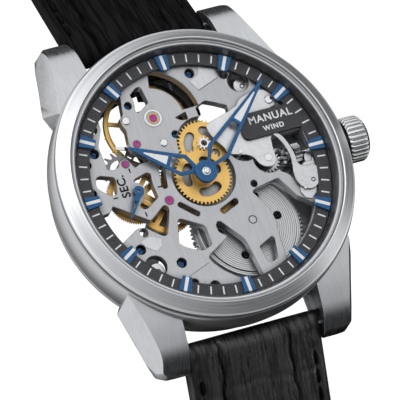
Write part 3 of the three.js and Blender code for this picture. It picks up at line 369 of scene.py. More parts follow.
class Shader(Nodes):
    """A node material with its usual parts."""

    def __init__(self, name, colour, metallic, roughness):
        self.material = bpy.data.materials.new(name)
        self.material.use_nodes = True
        super().__init__(self.material.node_tree)
        self.bsdf = self.tree.nodes["Principled BSDF"]
        self.bsdf.inputs["Base Color"].default_value = (*colour, 1)
        self.bsdf.inputs["Metallic"].default_value = metallic
        self.bsdf.inputs["Roughness"].default_value = roughness
        self.colour = colour
        self.material.diffuse_color = (*colour, 1)

    def show(self, surface):
        self.link(surface, self.tree.nodes["Material Output"].inputs["Surface"])

    def place(self):
        return self.tree.nodes.new("ShaderNodeTexCoord").outputs["Object"]

    def scaled(self, scale):
        mapping = self.node("ShaderNodeMapping")
        mapping.inputs["Scale"].default_value = scale
        self.link(self.place(), mapping.inputs["Vector"])
        return mapping.outputs["Vector"]

    def round_coordinates(self, centre, around=1.0, outward=1.0, height=1.0):
        """Angle, radius and height about an axis, for circular brushing."""
        split = self.node("ShaderNodeSeparateXYZ")
        move = self.node("ShaderNodeVectorMath")
        move.operation = "SUBTRACT"
        move.inputs[1].default_value = (centre[0] * MM, centre[1] * MM, 0)
        self.link(self.place(), move.inputs[0])
        self.link(move.outputs[0], split.inputs[0])
        x, y, z = split.outputs
        square = self.maths("ADD", self.maths("MULTIPLY", x, x), self.maths("MULTIPLY", y, y))
        join = self.node("ShaderNodeCombineXYZ")
        self.link(self.maths("MULTIPLY", self.maths("ARCTAN2", y, x), around), join.inputs["X"])
        self.link(self.maths("MULTIPLY", self.maths("SQRT", square), outward), join.inputs["Y"])
        self.link(self.maths("MULTIPLY", z, height), join.inputs["Z"])
        return join.outputs[0]

    def rings(self, centre, pitch, height):
        """Even circular ridges about an axis."""
        split = self.node("ShaderNodeSeparateXYZ")
        self.link(self.round_coordinates(centre, 1.0, TAU / (pitch * MM)), split.inputs[0])
        wave = self.maths("SINE", split.outputs["Y"])
        return self.maths("ADD", self.maths("MULTIPLY", wave, height), height)

    def noise(self, vector, detail=3.0, roughness=0.6):
        made = self.node("ShaderNodeTexNoise", Scale=1.0, Detail=detail, Roughness=roughness)
        self.link(vector, made.inputs["Vector"])
        return made.outputs["Fac"]

    def tint(self, value, dark, light):
        made = self.node("ShaderNodeMix")
        made.data_type = "RGBA"
        self.link(value, made.inputs[0])
        made.inputs[6].default_value = (*[c * dark for c in self.colour], 1)
        made.inputs[7].default_value = (*[min(1, c * light) for c in self.colour], 1)
        self.link(made.outputs[2], self.bsdf.inputs["Base Color"])
        return made.outputs[2]

    def rough(self, value, low, high):
        self.link(self.spread(value, low, high), self.bsdf.inputs["Roughness"])

    def bump(self, value, strength, distance):
        made = self.node("ShaderNodeBump", Strength=strength, Distance=distance * MM)
        self.link(value, made.inputs["Height"])
        self.link(made.outputs["Normal"], self.bsdf.inputs["Normal"])

    def openness(self, reach, power):
        """Near 1 on open surfaces and falling towards 0 in corners."""
        near = self.node("ShaderNodeAmbientOcclusion", Distance=reach * MM)
        near.samples = 4
        return self.maths("POWER", near.outputs["AO"], power)

    def shade_cavities(self, colour_socket):
        """Painted shade: darkens the colour where surfaces crowd together, by an ambient occlusion mask."""
        dark = self.node("ShaderNodeMix")
        dark.data_type = "RGBA"
        dark.blend_type = "MULTIPLY"
        dark.inputs[0].default_value = 0.75
        self.link(colour_socket, dark.inputs[6])
        self.link(self.openness(1.2, 1.6), dark.inputs[7])
        self.link(dark.outputs[2], self.bsdf.inputs["Base Color"])

    def dress(self, tone, grain, shades, cavities, rough, bump):
        """Colour, roughness and relief from a tone and a grain."""
        colour_out = self.tint(self.spread(tone, 0, 1), *shades)
        # With cavities, the colour gets painted shade in corners and recesses.
        if cavities:
            self.shade_cavities(colour_out)
        self.rough(grain, *rough)
        self.bump(grain, *bump)
        return self.material


def brushed(name, colour, stretch, roughness=0.32, bump=0.12, cavities=False):
    """Metal grained in straight lines; the axis with the smallest stretch runs along them."""
    shader = Shader(name, colour, 1.0, roughness)
    grain = shader.noise(shader.scaled(stretch), 4.0)
    cloud = shader.noise(shader.scaled((160, 160, 160)), 2.0)
    tone = shader.weighted((grain, 0.7), (cloud, 0.3))
    rough = (roughness * 0.8, roughness * 1.25)
    return shader.dress(tone, grain, (0.86, 1.12), cavities, rough, (bump, 0.02))


def turned_metal(
    name, colour, centre=(0, 0), roughness=0.3, bump=0.15, outward=9000, cavities=False, dark=0.86, pitch=0
):
    """Metal grained in circles about an axis; a pitch in millimetres adds fine turned rings."""
    shader = Shader(name, colour, 1.0, roughness)
    grain = shader.noise(shader.round_coordinates(centre, 1.2, outward, 4000), 4.0)
    if pitch:
        grain = shader.maths("ADD", shader.maths("MULTIPLY", grain, 0.5), shader.rings(centre, pitch, 0.25))
    rough = (roughness * 0.8, roughness * 1.25)
    return shader.dress(grain, grain, (dark, 1.1), cavities, rough, (bump, 0.02))


def speckled(name, colour, metallic, roughness, contrast=0.08, cavities=False):
    """Fine even texture, for paint, polish and plastic."""
    shader = Shader(name, colour, metallic, roughness)
    grain = shader.noise(shader.scaled((2500, 2500, 2500)))
    rough = (roughness * 0.85, roughness * 1.2)
    return shader.dress(grain, grain, (1 - contrast, 1 + contrast), cavities, rough, (0.05, 0.01))


def clear_glass():
    """Coated sapphire: almost clear, with a faint sheen at grazing angles."""
    shader = Shader("sapphire", (0.97, 0.98, 0.98), 0.0, 0.03)
    grain = shader.noise(shader.scaled((400, 400, 400)), 1.0)
    clear = shader.node("ShaderNodeBsdfTransparent")
    gloss = shader.node("ShaderNodeBsdfGlossy")
    shader.link(shader.spread(grain, 0.02, 0.05), gloss.inputs["Roughness"])
    facing = shader.node("ShaderNodeLayerWeight", Blend=0.25)
    share = shader.maths("MULTIPLY", facing.outputs["Fresnel"], 0.12)
    shader.show(shader.mix_shaders(share, clear.outputs[0], gloss.outputs[0]))
    return shader.material


def jewel():
    shader = Shader("synthetic_ruby", (0.36, 0.03, 0.215), 0.0, 0.3)
    grain = shader.noise(shader.scaled((1500, 1500, 1500)), 2.0)
    shader.tint(shader.spread(grain, 0, 1), 0.8, 1.25)
    shader.rough(grain, 0.22, 0.4)
    shader.bsdf.inputs["Coat Weight"].default_value = 0.1
    return shader.material


def leather(name, colour, roughness, sheen, wrinkles=1.0):
    """Black hide: fine wrinkles running along the strap over a soft grain."""
    shader = Shader(name, colour, 0.0, roughness)
    pores = shader.noise(shader.scaled((3200, 1500, 1500)), 4.0)
    folds = shader.noise(shader.scaled((2100, 190, 190)), 3.0, 0.7)
    broad = shader.noise(shader.scaled((500, 90, 90)), 2.0)
    lines = shader.noise(shader.scaled((850, 62, 62)), 4.0, 0.55)
    offset = shader.maths("ABSOLUTE", shader.maths("SUBTRACT", lines, 0.5))
    crease = shader.maths("MINIMUM", shader.maths("MULTIPLY", offset, 13), 1.0)
    both = shader.weighted((folds, 0.3), (pores, 0.3), (crease, 0.35 * wrinkles))
    shader.tint(shader.spread(both, 0, 1), 0.5, 1.7)
    shader.rough(broad, roughness * 0.8, roughness * 1.25)
    shader.bump(both, 0.7, 0.26)
    # Painted shade: the sheen drops along the crease lines and where an ambient occlusion mask finds folds;
    # the crease lines also darken the tint.
    bare = shader.maths("ADD", shader.maths("MULTIPLY", crease, 0.6), 0.4)
    lit = shader.maths("MULTIPLY", bare, shader.openness(0.9, 2.5))
    shader.link(shader.maths("MULTIPLY", lit, sheen), shader.bsdf.inputs["Specular IOR Level"])
    return shader.material


# Materials made with cavities=True carry painted shade in their corners and recesses.
CASE_STEEL = turned_metal("case_brushed", (0.60, 0.605, 0.62), roughness=0.36, outward=1500)
LUG_STEEL = brushed("lug_brushed", (0.60, 0.61, 0.63), (9000, 350, 900), 0.3, 0.15)
BEZEL_STEEL = turned_metal("bezel_brushed", (0.74, 0.75, 0.77), roughness=0.4, outward=5000)
REHAUT = turned_metal("rehaut", (0.17, 0.17, 0.175), roughness=0.4)
POLISH = speckled("polished_steel", (0.80, 0.81, 0.82), 1.0, 0.12, contrast=0.05)
BRIGHT = speckled("bright_steel", (0.70, 0.705, 0.72), 1.0, 0.3, contrast=0.05, cavities=True)
# Steel painted dark: painted shade on inner walls and on parts deep in the movement; also the dark seams
# between bridges.
DARK_STEEL = speckled("shaded_steel", (0.22, 0.22, 0.23), 1.0, 0.3, cavities=True)
PLATE_STEEL = brushed("plate_grained", (0.53, 0.535, 0.55), (4200, 300, 1500), 0.42, 0.2, cavities=True)
BRIDGE_STEEL = brushed("bridge_grained", (0.52, 0.525, 0.54), (300, 4200, 1500), 0.36, 0.2, cavities=True)
GILT = turned_metal("gilt_brass", (0.92, 0.56, 0.17), roughness=0.42, cavities=True)
GILT_PALE = turned_metal("gilt_pale", (0.95, 0.60, 0.19), roughness=0.42)
BLUE = speckled("blued", (0.018, 0.105, 0.26), 0.45, 0.42, contrast=0.12)
BLUE_DEEP = speckled("blued_screw", (0.012, 0.075, 0.20), 0.5, 0.35, contrast=0.2)
LUME = speckled("white_inlay", (0.83, 0.84, 0.85), 0.0, 0.6, contrast=0.04)
PRINT = speckled("white_print", (0.80, 0.81, 0.82), 0.0, 0.55, contrast=0.05)
# Black for print, and also for painted shade: dark discs, rings and sectors set where there is only shade.
INK_AND_SHADE = speckled("black_print_and_shade", (0.006, 0.006, 0.007), 0.0, 0.8)
INK_AND_SHADE.node_tree.nodes["Principled BSDF"].inputs["Specular IOR Level"].default_value = 0.1
DIAL = turned_metal("dial_anthracite", (0.075, 0.075, 0.081), roughness=0.5, bump=0.02)
GLASS = clear_glass()
RUBY = jewel()
# Two copies of one black hide: the 6 o'clock copy has far more sheen, less roughness and a lighter colour,
# as painted light; the 12 o'clock copy is the darker, shaded one.
LEATHER = leather("strap_leather", (0.004, 0.004, 0.0045), 0.5, 0.06)
LEATHER_6 = leather("strap_leather_lit", (0.005, 0.005, 0.0058), 0.36, 0.95)
THREAD = leather("thread", (0.0015, 0.0015, 0.002), 0.6, 0.1, 0.3)
RUBBER = speckled("gasket_rubber", (0.02, 0.02, 0.02), 0.0, 0.7)
NYLON = speckled("gasket_nylon", (0.35, 0.35, 0.36), 0.0, 0.5)
CROWN_STEEL = speckled("crown_steel", (0.9, 0.905, 0.91), 1.0, 0.3, cavities=True)
BACK_STEEL = turned_metal("back_polished", (0.6, 0.61, 0.62), roughness=0.2)
COVER_STEEL = brushed("cover_satin", (0.74, 0.745, 0.755), (900, 900, 900), 0.3, 0.05, cavities=True)
BARREL_STEEL = turned_metal(
    "barrel_circular", (0.66, 0.665, 0.68), AXIS["barrel"], 0.4, 0.3, outward=6000, dark=0.5, pitch=0.3
)
KEYLESS = speckled("keyless_steel", (0.62, 0.63, 0.64), 1.0, 0.22, cavities=True)
FACED_STEEL = brushed("facing_grained", (0.66, 0.665, 0.68), (1500, 300, 4200), 0.36, 0.1, cavities=True)
SUNRAY = turned_metal("ratchet_sunray", (0.62, 0.63, 0.645), AXIS["barrel"], 0.28, 0.2)


# ------------------------------------------------------------------ case
def break_edges(piece, width, segments):
    limit = math.radians(30)
    modify(piece, "BEVEL", width=width * MM, segments=segments, limit_method="ANGLE", angle_limit=limit)


def make_lug():
    """The lug at upper right; the others are its mirror images."""
    inner, top = 10.2, 9.2
    plan = [
        (inner, 12), (15.2, 12.4), (16.7, 13.75), (17.9, 15.1), (17.2, 16.9), (16.4, 19.4),
        (15.7, 22.2), (14.9, 24.0), (13.6, 25.1), (inner, 25.5),
    ]
    body = prism("case_middle_lug_1", plan, 0, top)
    side = [
        (9, 1.5), (21, 1.35), (24.2, 1.9), (25.4, 2.9), (25.0, 4.0), (22.9, 6.5), (19, 8.0),
        (13.5, top), (9, top),
    ]
    swept = prism("side", rounded(side, 2.4, 8), -30, 30)
    to_x = Matrix(((0, 0, 1, 0), (1, 0, 0, 0), (0, 1, 0, 0), (0, 0, 0, 1)))
    swept.data.transform(to_x)
    boolean(body, "INTERSECT", swept)
    slope = Matrix.Rotation(math.radians(16), 4, "Z") @ Matrix.Rotation(math.radians(-15), 4, "X")
    at = Matrix.Translation((17.05 * MM, 17.5 * MM, 4.5 * MM))
    for lean in (-20, 42):
        wedge = prism("wedge", [(0, -14), (8, -14), (8, 14), (0, 14)], -9, 9)
        wedge.data.transform(at @ slope @ Matrix.Rotation(math.radians(lean), 4, "Y"))
        cut_out(body, wedge)
    cut_out(body, prism("core", circle(20.4, count=180), -1, 12))
    break_edges(body, 0.12, 1)
    return settle(body)


def lug_parts():
    first = make_lug()
    for index, (side, end) in enumerate(((1, 1), (-1, 1), (-1, -1), (1, -1)), 1):
        mesh = first.data.copy()
        mesh.transform(Matrix.Diagonal((side, end, 1, 1)))
        if side * end < 0:
            mesh.flip_normals()
        put(add_object(f"case_middle_lug{index}", mesh), HEAD, LUG_STEEL, "case_steel", "case_middle")
    bpy.data.objects.remove(first)


def middle_parts():
    flank = [
        (19.22, 1.75), (19.95, 1.72), (20.25, 2.2), (20.7, 3.5), (21.1, 4.6), (21.38, 5.8), (21.5, 7.0),
        (21.5, 9.2), (21.44, 9.38), (21.3, 9.55), (19.22, 9.58),
    ]
    band = lathe("case_middle_band", flank, count=288, sharp=20)
    cut_out(band, turn_to_x(disc("hole", 1.15, 0, 7), 17, 0, STEM_Z))
    put(band, HEAD, CASE_STEEL, "case_steel", "case_middle")
    holder = lathe("movement_holder", ring_profile(18.3, 19.1, 3.4, 9.1, 0.1), count=200)
    cut_out(holder, turn_to_x(disc("hole", 1.3, 0, 5), 17, 0, STEM_Z))
    put(holder, HEAD, DARK_STEEL, "case_back_steel", "movement_ring")
    tube = turn_to_x(ring("crown_sleeve", 0.75, 1.1, 0, 2.3), 19.9, 0, STEM_Z)
    put(tube, HEAD, POLISH, "case_back_steel", "crown_tube")
    profile = [
        (0, 0), (0.42, 0.04), (0.5, 0.15), (0.5, 1.7), (0.85, 1.76), (0.85, 21.44), (0.5, 21.5),
        (0.5, 23.05), (0.42, 23.16), (0, 23.2),
    ]
    for name, end in (("spring_bar_12", 1), ("spring_bar_6", -1)):
        bar = turn_to_x(lathe(name + "_pin", profile, count=28, closed=False), -11.6, end * LUG_Y, BAR_Z)
        put(bar, HEAD, POLISH, "case_back_steel", name)


def front_parts():
    bezel = [
        (18.75, 9.68), (20.75, 9.68), (20.75, 9.86), (21.16, 9.9), (21.26, 10.0), (21.26, 10.2),
        (21.2, 10.32), (20.98, 10.44), (19.62, 11.52), (19.5, 11.56), (19.42, 11.5), (19.38, 11.3),
        (19.3, 10.98), (18.78, 10.96),
    ]
    put(lathe("bezel_ring", bezel, count=360, sharp=8), HEAD, BEZEL_STEEL, "case_steel", "bezel")

    def ribs(angle, r):
        return r + (0.012 * math.sin(angle * 120) if r < 18.65 else 0)

    slope = [(18.16, 9.62), (18.7, 9.62), (18.74, 10.95), (18.62, 10.95), (18.18, 9.92)]
    put(lathe("inner_flange", slope, count=720, wave=ribs), HEAD, REHAUT, "dial_grey", "bezel")
    gasket = lathe("crystal_seal", ring_profile(19.06, 19.28, 10.99, 11.25, 0.04), count=180)
    put(gasket, HEAD, NYLON, "gasket_white", "crystal_gasket")
    dome = [(0, 11.02), (18.98, 11.02), (19.02, 11.06), (19.02, 11.46), (18.9, 11.56), (0, 11.66)]
    put(lathe("crystal", dome, count=200, closed=False), HEAD, GLASS, "sapphire", "front_crystal")


def back_parts():
    back = [
        (16.4, 0.06), (16.46, 0), (19.24, 0), (19.34, 0.06), (19.86, 0.58), (19.9, 0.66), (19.9, 1.6),
        (19.14, 1.64), (19.1, 2.6), (17.0, 2.6), (17.0, 0.75), (16.4, 0.75),
    ]
    notches = [disc("notch", 0.9, -1, 0.35, polar(19.0, TAU * i / 6)) for i in range(6)]
    closure = cut_out(lathe("case_back", back, count=288), *notches)
    put(closure, HEAD, BACK_STEEL, "case_back_steel", "case_back_ring")
    rear = [(0, 0), (16.24, 0), (16.3, 0.06), (16.3, 0.82), (16.9, 0.84), (16.9, 1.42), (0, 1.45)]
    put(lathe("case_back_crystal", rear, count=160, closed=False), HEAD, GLASS, "sapphire", "back_crystal")
    corners = [(18.35, 2.65), (18.9, 2.65), (18.9, 2.95), (18.35, 2.95)]
    seal = lathe("case_back_seal", rounded(corners, 0.12, 3))
    put(seal, HEAD, RUBBER, "gasket_black", "back_gasket")


def crown_parts():
    def flutes(angle, r):
        depth = 0.3 * max(0.0, min(1.0, (r - 2.95) / 0.2))
        return r - depth * (0.5 - 0.5 * math.cos(angle * CROWN_FLUTES)) ** 2.2

    profile = [
        (1.4, 1.2), (1.4, 0.1), (1.5, 0), (2.9, 0), (3.05, 0.12), (3.24, 0.3), (3.27, 0.45),
        (3.27, 2.3), (3.2, 2.5), (3.02, 2.7), (2.86, 2.82), (2.6, 3.02), (2.45, 3.07), (0, 3.14),
    ]
    head = lathe("crown_head", profile, count=360, closed=False, wave=flutes)
    crown = turn_to_x(head, CROWN_X, 0, STEM_Z)
    put(crown, "crown_and_stem", CROWN_STEEL, "case_steel", "crown")
    stem_profile = [
        (0, 0), (0.42, 0.05), (0.42, 4.95), (0.6, 5.0), (0.62, 5.1), (0.62, 9.7), (0.42, 9.8),
        (0.42, 12.5), (0, 12.55),
    ]
    stem = turn_to_x(lathe("stem_rod", stem_profile, count=32, closed=False), 11.4, 0, STEM_Z)
    put(stem, "crown_and_stem", POLISH, "polished_steel", "winding_stem")


# ------------------------------------------------------------------ dial
def dial_ring():
    """Flat ring whose opening follows the movement and stops at the tab over the keyless works."""
    inner, outer = 16.25, 18.1
    low, high, left, corner = 3.06, 6.85, 7.4, 0.9
    tab = arc(corner, 3 * QUARTER, 2 * QUARTER, (left + corner, low + corner), 8)
    tab += arc(corner, 2 * QUARTER, QUARTER, (left + corner, high - corner), 8)
    opening = arc(inner, math.asin(high / inner), math.asin(low / inner) + TAU, count=200) + tab
    dial = plate("dial_flange", [circle(outer, count=256), opening], 9.2, 9.5, 0.04)
    put(dial, HEAD, DIAL, "dial_grey", "dial_ring")


def ticks(name, turns, inner, outer, half, low, high, centre, material, slot):
    marks = []
    for turn in turns:
        outline = bar_outline(polar(inner, turn, centre), polar(outer, turn, centre), half)
        marks.append(prism("tick", outline, low, high))
    put(joined(name, marks), HEAD, material, slot)


def hour_marker(hour):
    """Two blued bars with a white inlay between them."""
    number = f"{hour or 12:02d}"
    turn = TAU * hour / 12
    bars = []
    for side in (1, -1):
        shape = [(15.75, 0.24 * side), (18.05, 0.24 * side), (18.05, 0.95 * side), (15.78, 0.67 * side)]
        bars.append(plate("bar", [shape[::side]], DIAL_TOP, 9.9, 0.06))
    blue = moved(joined(f"marker_{number}", bars), 0, 0, 0, turn)
    put(blue, HEAD, BLUE, "blue_marker", "hour_markers")
    face = [(15.85, -0.25), (18.0, -0.25), (18.0, 0.25), (15.85, 0.25)]
    inlay = moved(plate(f"marker_inlay_{number}", [face], DIAL_TOP, 9.86, 0.03), 0, 0, 0, turn)
    put(inlay, HEAD, LUME, "gasket_white")


def dial_parts():
    dial_ring()
    minutes = [TAU * minute / 60 for minute in range(60) if minute % 5]
    ticks("minute_track", minutes, 16.62, 17.78, 0.1, 9.49, 9.53, MIDDLE, PRINT, "gasket_white")
    for hour in range(12):
        hour_marker(hour)
    quarters = [quarter * QUARTER for quarter in range(4)]
    low, high = PLATE_TOP + 0.005, PLATE_TOP + 0.03
    ticks("small_seconds_track", quarters, 3.0, 3.65, 0.08, low, high, AXIS["fourth"], INK_AND_SHADE, "gasket_black")
    label("small_seconds_label", "SEC.", 1.7, (-11.6, 1.35), QUARTER, PLATE_TOP + 0.02, INK_AND_SHADE, 1.05)
    label("dial_legend", "MANUAL", 1.5, (12.1, 5.6), 0, DIAL_TOP, PRINT, 1.12)
    label("dial_legend_small", "WIND", 1.0, (12.1, 4.05), 0, DIAL_TOP, PRINT, 1.2)


def label(name, text, size, at, turn, height, material, spacing):
    """Flat lettering standing a hair above a surface."""
    curve = bpy.data.curves.new(name, "FONT")
    curve.body = text
    curve.size = size * MM
    curve.align_x = "CENTER"
    curve.align_y = "CENTER"
    curve.space_character = spacing
    curve.extrude = 0.012 * MM
    curve.offset = 0.03 * MM
    holder = add_object(name, curve)
    mesh = baked(holder)
    bpy.data.objects.remove(holder)
    mesh.name = name
    piece = moved(add_object(name, mesh), *at, height, turn)
    put(piece, HEAD, material, "gasket_white" if material is PRINT else "gasket_black")


# ------------------------------------------------------------------ main plate
WINDOWS = [
    [
        (-7.3, 14.6), (-7.45, 13.9), (-7.9, 11.4), (-8.6, 10.9), (-8.6, 9.9), (-8.3, 9), (-8.6, 7),
        (-8.4, 5.9), (-7.4, 5), (-6.7, 3.95), (-8.1, 3.95), (-9, 3.55), (-9.35, 4.3), (-9.7, 5),
        (-10.2, 5.2), (-10.9, 4.9), (-11.2, 4.3), (-12, 4), (-12.9, 4.3), (-12.95, 7.8),
        (-11.7, 10.15), (-11.6, 12.1), (-9.6, 13.7),
    ],
    [
        (-5.9, 13.9), (-4.9, 14.6), (-4.3, 14.7), (-4, 14.4), (-3.75, 12.2), (-5.6, 11.1), (-6, 11.3),
        (-5.7, 12.8),
    ],
    [(-0.86, 9.07), (0.9, 9.55), (0.9, 8.4), (-0.1, 8.5)],
    [(2.5, 9.7), (4.1, 10.4), (5.4, 9.8), (7, 8.9), (6.9, 8), (4.4, 7.3), (3, 7.9), (2.5, 8.6)],
    [
        (-10, 1.7), (-9.6, 2), (-7.7, 2.45), (-7.2, 2.15), (-7.45, 0.5), (-7.35, -1.35), (-9.4, -2.55),
        (-10.1, -2.5), (-10.35, -1.9), (-9.6, -1.2), (-8.85, -0.3), (-8.8, 0.5), (-9.2, 1.2),
    ],
    [
        (-15.25, 2.6), (-14.9, 3.5), (-14.3, 3.65), (-12.5, 3), (-12.3, 2.6), (-12.7, 0.9),
        (-13.1, 0.4), (-13.9, 0.6), (-15.2, 2),
    ],
    [
        (-16.3, -2), (-14.7, -1.8), (-14.1, -1), (-12.9, -1.9), (-9.7, -4.35), (-9, -4), (-7.3, -2.8),
        (-6.85, -2.75), (-6.5, -3.1), (-6.6, -3.8), (-7.9, -6.7), (-8.4, -7), (-8.9, -6.8),
        (-10.8, -5.1), (-11.9, -4.95), (-15, -6.6), (-16, -4.2),
    ],
    [
        (-6, -5.4), (-5.6, -5.15), (-5.1, -5.4), (-2.7, -6.9), (-2.4, -7.3), (-2.4, -9.7), (-2.7, -10),
        (-3.9, -10.35), (-5, -10), (-6.3, -9.2), (-6.95, -8.5), (-6.6, -7.5),
    ],
    [
        (-0.95, -7.4), (-0.6, -6.9), (-0.1, -7), (2.2, -10.2), (2.45, -10.9), (3.1, -16.1), (1, -16.2),
        (-0.6, -15.3), (-2.2, -13.9), (-3.3, -12.4), (-3.6, -11.6), (-3.3, -11.2), (-1, -10),
        (0.1, -9.3), (-0.9, -8.4),
    ],
    [
        (6.4, -3.75), (9.7, -3.15), (10.2, -3.15), (11.9, -6.3), (12.9, -7), (14, -8.1), (12, -10.9),
        (9, -13.5), (7.2, -14.6), (7.2, -12), (7.6, -8.8), (7.4, -7.2), (6.7, -5.7), (5.9, -4.1),
    ],
    [
        (3.95, -11.9), (5.9, -11.05), (6.2, -10.95), (6.5, -11.3), (6.3, -12.5), (6, -14), (5, -14.5),
        (4.3, -14.3),
    ],
    [
        (10.9, 2.9), (16.1, 2.9), (16.45, -1.2), (16.25, -3.6), (15.3, -5.75), (13, -5.75), (12, -3),
        (10.9, -2.2),
    ],
]
SLOTS = [
    ((-5.35, 2.4), (-5.9, 0), 0.45),
    ((-4.75, -3.25), (-2.85, -5.1), 0.38),
    ((0.9, -5.6), (3, -4.8), 0.45),
]
# Bored holes as x, y, radius; the first list holds a blued screw at the bottom of each.
SCREW_HOLES = [
    (-6.75, 12.43, 0.55), (-1.69, 6.75, 0.55), (-13.95, 6.93, 0.72), (3.5, 14.8, 0.7),
    (-12.5, -8, 0.72), (-7.6, -11.3, 0.72),
]
OPEN_HOLES = [
    (-12.88, 10.26, 0.6), (-15.56, 5.62, 0.65), (-16.2, 1.4, 0.6), (5.87, 14.37, 0.83),
    (8.13, 13.4, 0.65), (9.85, 11.9, 1.55), (14.6, 7.5, 0.7), (-11.2, -5.8, 0.62), (-11.3, -10.9, 1.6),
    (-10.7, -12.8, 0.5), (-6.9, -14.56, 0.62), (-4.2, -15.7, 0.75), (0.9, 16.6, 0.5),
    (6.55, -3.0, 0.5),
]
SEAMS = [((-9.4, -14.2), (-3.9, -12.3)), ((7.2, 13.2), (8.0, 15.4)), ((7.2, 13.2), (3.9, 12.0))]
# Brighter facings let into the bridges.
FACINGS = [
    [(5.25, 16.3), (8.0, 15.35), (7.2, 13.25), (3.9, 12.1), (3.0, 13.6), (4.6, 14.3)],
    [(-12.2, -6.9), (-10.4, -6.5), (-9.2, -7.3), (-9.5, -8.3), (-10.4, -8.8), (-11.7, -7.9)],
]
ECCENTRICS = [(-11.15, -11.35), (10.25, 11.35)]
SINKS = [(MIDDLE, 4.6), (AXIS["minute"], 3.95), (AXIS["intermediate"], 2.3), (AXIS["setting"], 2.2)]
# Polished pins: name, place, radius, top.
POSTS = [
    ("post_balance", (-7.88, 10.38), 0.62, 9.02), ("post_pallet", (-3.77, 5.98), 0.58, 9.02),
    ("post_cover", (12.95, 8.1), 0.62, 9.28), ("post_minute", (6.3, 1.9), 0.42, 9.2),
    ("post_setting", (9.83, 0.03), 0.62, 9.2),
]


def sector(inner, outer, from_deg, to_deg):
    """Piece of a ring about the balance."""
    start, end, centre = math.radians(from_deg), math.radians(to_deg), AXIS["balance"]
    return arc(outer, start, end, centre, 28) + arc(inner, end, start, centre, 24)


def main_plate():
    """The openworked plate, with round recesses under the wheels, on a rim painted dark as shade, with
    black sectors about the balance as painted shade.
    """
    low, recess = 7.5, 7.75
    loops = [circle(18.2, count=240)]
    loops += [rounded(points, 0.22) for points in WINDOWS]
    loops.append(rounded(sector(4.5, 7, 2, 76), 0.1, 2))
    loops += [capsule(a, b, radius) for a, b, radius in SLOTS]
    loops += [circle(r, (x, y), 24) for x, y, r in SCREW_HOLES + OPEN_HOLES]
    web = plate("main_plate_web", loops, low, PLATE_TOP, 0.07)
    cut_out(web, *[prism("sink", circle(radius, centre, 96), recess, 10) for centre, radius in SINKS])
    put(web, HEAD, PLATE_STEEL, "plate_steel", "main_plate")
    rim = lathe("main_plate_rim", ring_profile(16.7, 18.2, 4.4, 7.55, 0.08), count=160)
    put(rim, HEAD, DARK_STEEL, "plate_steel", "main_plate")
    # Black sectors above and below the balance rim: painted shade, not parts of the watch.
    put(plate("balance_upper_shade", [sector(7.0, 7.45, -6, 82)], 6.98, 7.46, 0.04), HEAD, INK_AND_SHADE, "gasket_black")
    put(plate("balance_shade", [sector(4.2, 7.3, -8, 84)], 4.5, 4.8, 0.04), HEAD, INK_AND_SHADE, "gasket_black")


def plate_details():
    seams = [prism("seam", bar_outline(a, b, 0.05), PLATE_TOP - 0.01, PLATE_TOP + 0.006) for a, b in SEAMS]
    put(joined("bridge_seams", seams), HEAD, DARK_STEEL, "gasket_black")
    facings = [rounded(points, 0.1, 2) for points in FACINGS]
    faced = plate("bridge_facings", facings, PLATE_TOP, PLATE_TOP + 0.05, 0.01)
    put(faced, HEAD, FACED_STEEL, "plate_steel")
    for index, (x, y) in enumerate(ECCENTRICS, 1):
        put(disc(f"eccentric_{index}", 1.1, 7.6, 8.35, (x, y), 0.08), HEAD, COVER_STEEL, "polished_steel")
        mark = ring(f"eccentric_mark_{index}", 0.24, 0.36, 8.3, 8.37, (x + 0.1, y - 0.1), 0.01, 32)
        put(mark, HEAD, INK_AND_SHADE, "gasket_black")
    for index, (x, y, radius) in enumerate(SCREW_HOLES, 1):
        screw(f"plate_screw_{index}", (x, y), radius * 0.62, 8.3, 0.7 * index)
        # A black disc deep in each hole: painted shade.
        well = disc(f"plate_screw_shade_{index}", radius - 0.02, 7.7, 7.95, (x, y), 0.02, 32)
        put(well, HEAD, INK_AND_SHADE, "gasket_black")
    screw("keyless_screw_1", (16.75, -1.9), 0.5, 9.1, 0.4)
    screw("keyless_screw_2", (14.2, -6.6), 0.5, 9.05, 1.3)
    for name, at, radius, top in POSTS:
        profile = [(0, 8.4), (radius, 8.4), (radius, top - 0.12), (radius - 0.12, top), (0, top)]
        put(lathe(name, profile, at, 40, False), HEAD, POLISH, "polished_steel")


def setting_cover():
    outline = [
        (2.9, 6.9), (4.2, 7.3), (6.9, 8), (8.3, 8.6), (8.8, 9.3), (10.2, 9.75), (12.6, 9.9),
        (14.2, 8.7), (13.9, 7.2), (12.5, 6.9), (12.5, 3.1), (11.3, 2.9), (11, 1.3), (10.9, -0.4),
        (10.5, -1.1), (9.7, -1.35), (8.8, -1.1), (8.2, -0.4), (7.9, 0.5), (7.2, 1.1), (6, 1.5),
        (5, 1.75), (4.5, 2.1), (4.3, 3.0), (3.3, 4.6), (2.9, 5.9),
    ]
    cover = plate("setting_works_cover", [rounded(outline, 0.5, 5)], 8.91, 9.15, 0.06)
    cut_out(cover, disc("bore", 1.05, 8, 10, AXIS["minute"]), disc("bore", 4.35, 8, 10, count=120))
    put(cover, HEAD, COVER_STEEL, "polished_steel", "setting_cover")


def screw(name, at, radius, top, turn):
    """Screw head with a slot across it."""
    start = math.asin(0.22)
    rim = arc(radius, start, math.pi - start, count=14)
    parts = [plate("half", [turned(rim, side)], top - 0.16, top, 0.03) for side in (0, math.pi)]
    parts.append(disc("base", radius, top - 0.5, top - 0.15, count=28))
    put(moved(joined(name, parts), *at, 0, turn), HEAD, BLUE_DEEP, "blue_hand")


def jewel_stone(name, at, radius, top):
    """Ring-shaped bearing stone with a cupped face."""
    profile = [
        (0, top - 0.3), (radius, top - 0.3), (radius, top - 0.04), (radius - 0.05, top),
        (radius * 0.5, top), (radius * 0.3, top - 0.04), (0, top - 0.05),
    ]
    put(lathe(name, profile, at, 40, closed=False), HEAD, RUBY, "polished_steel")


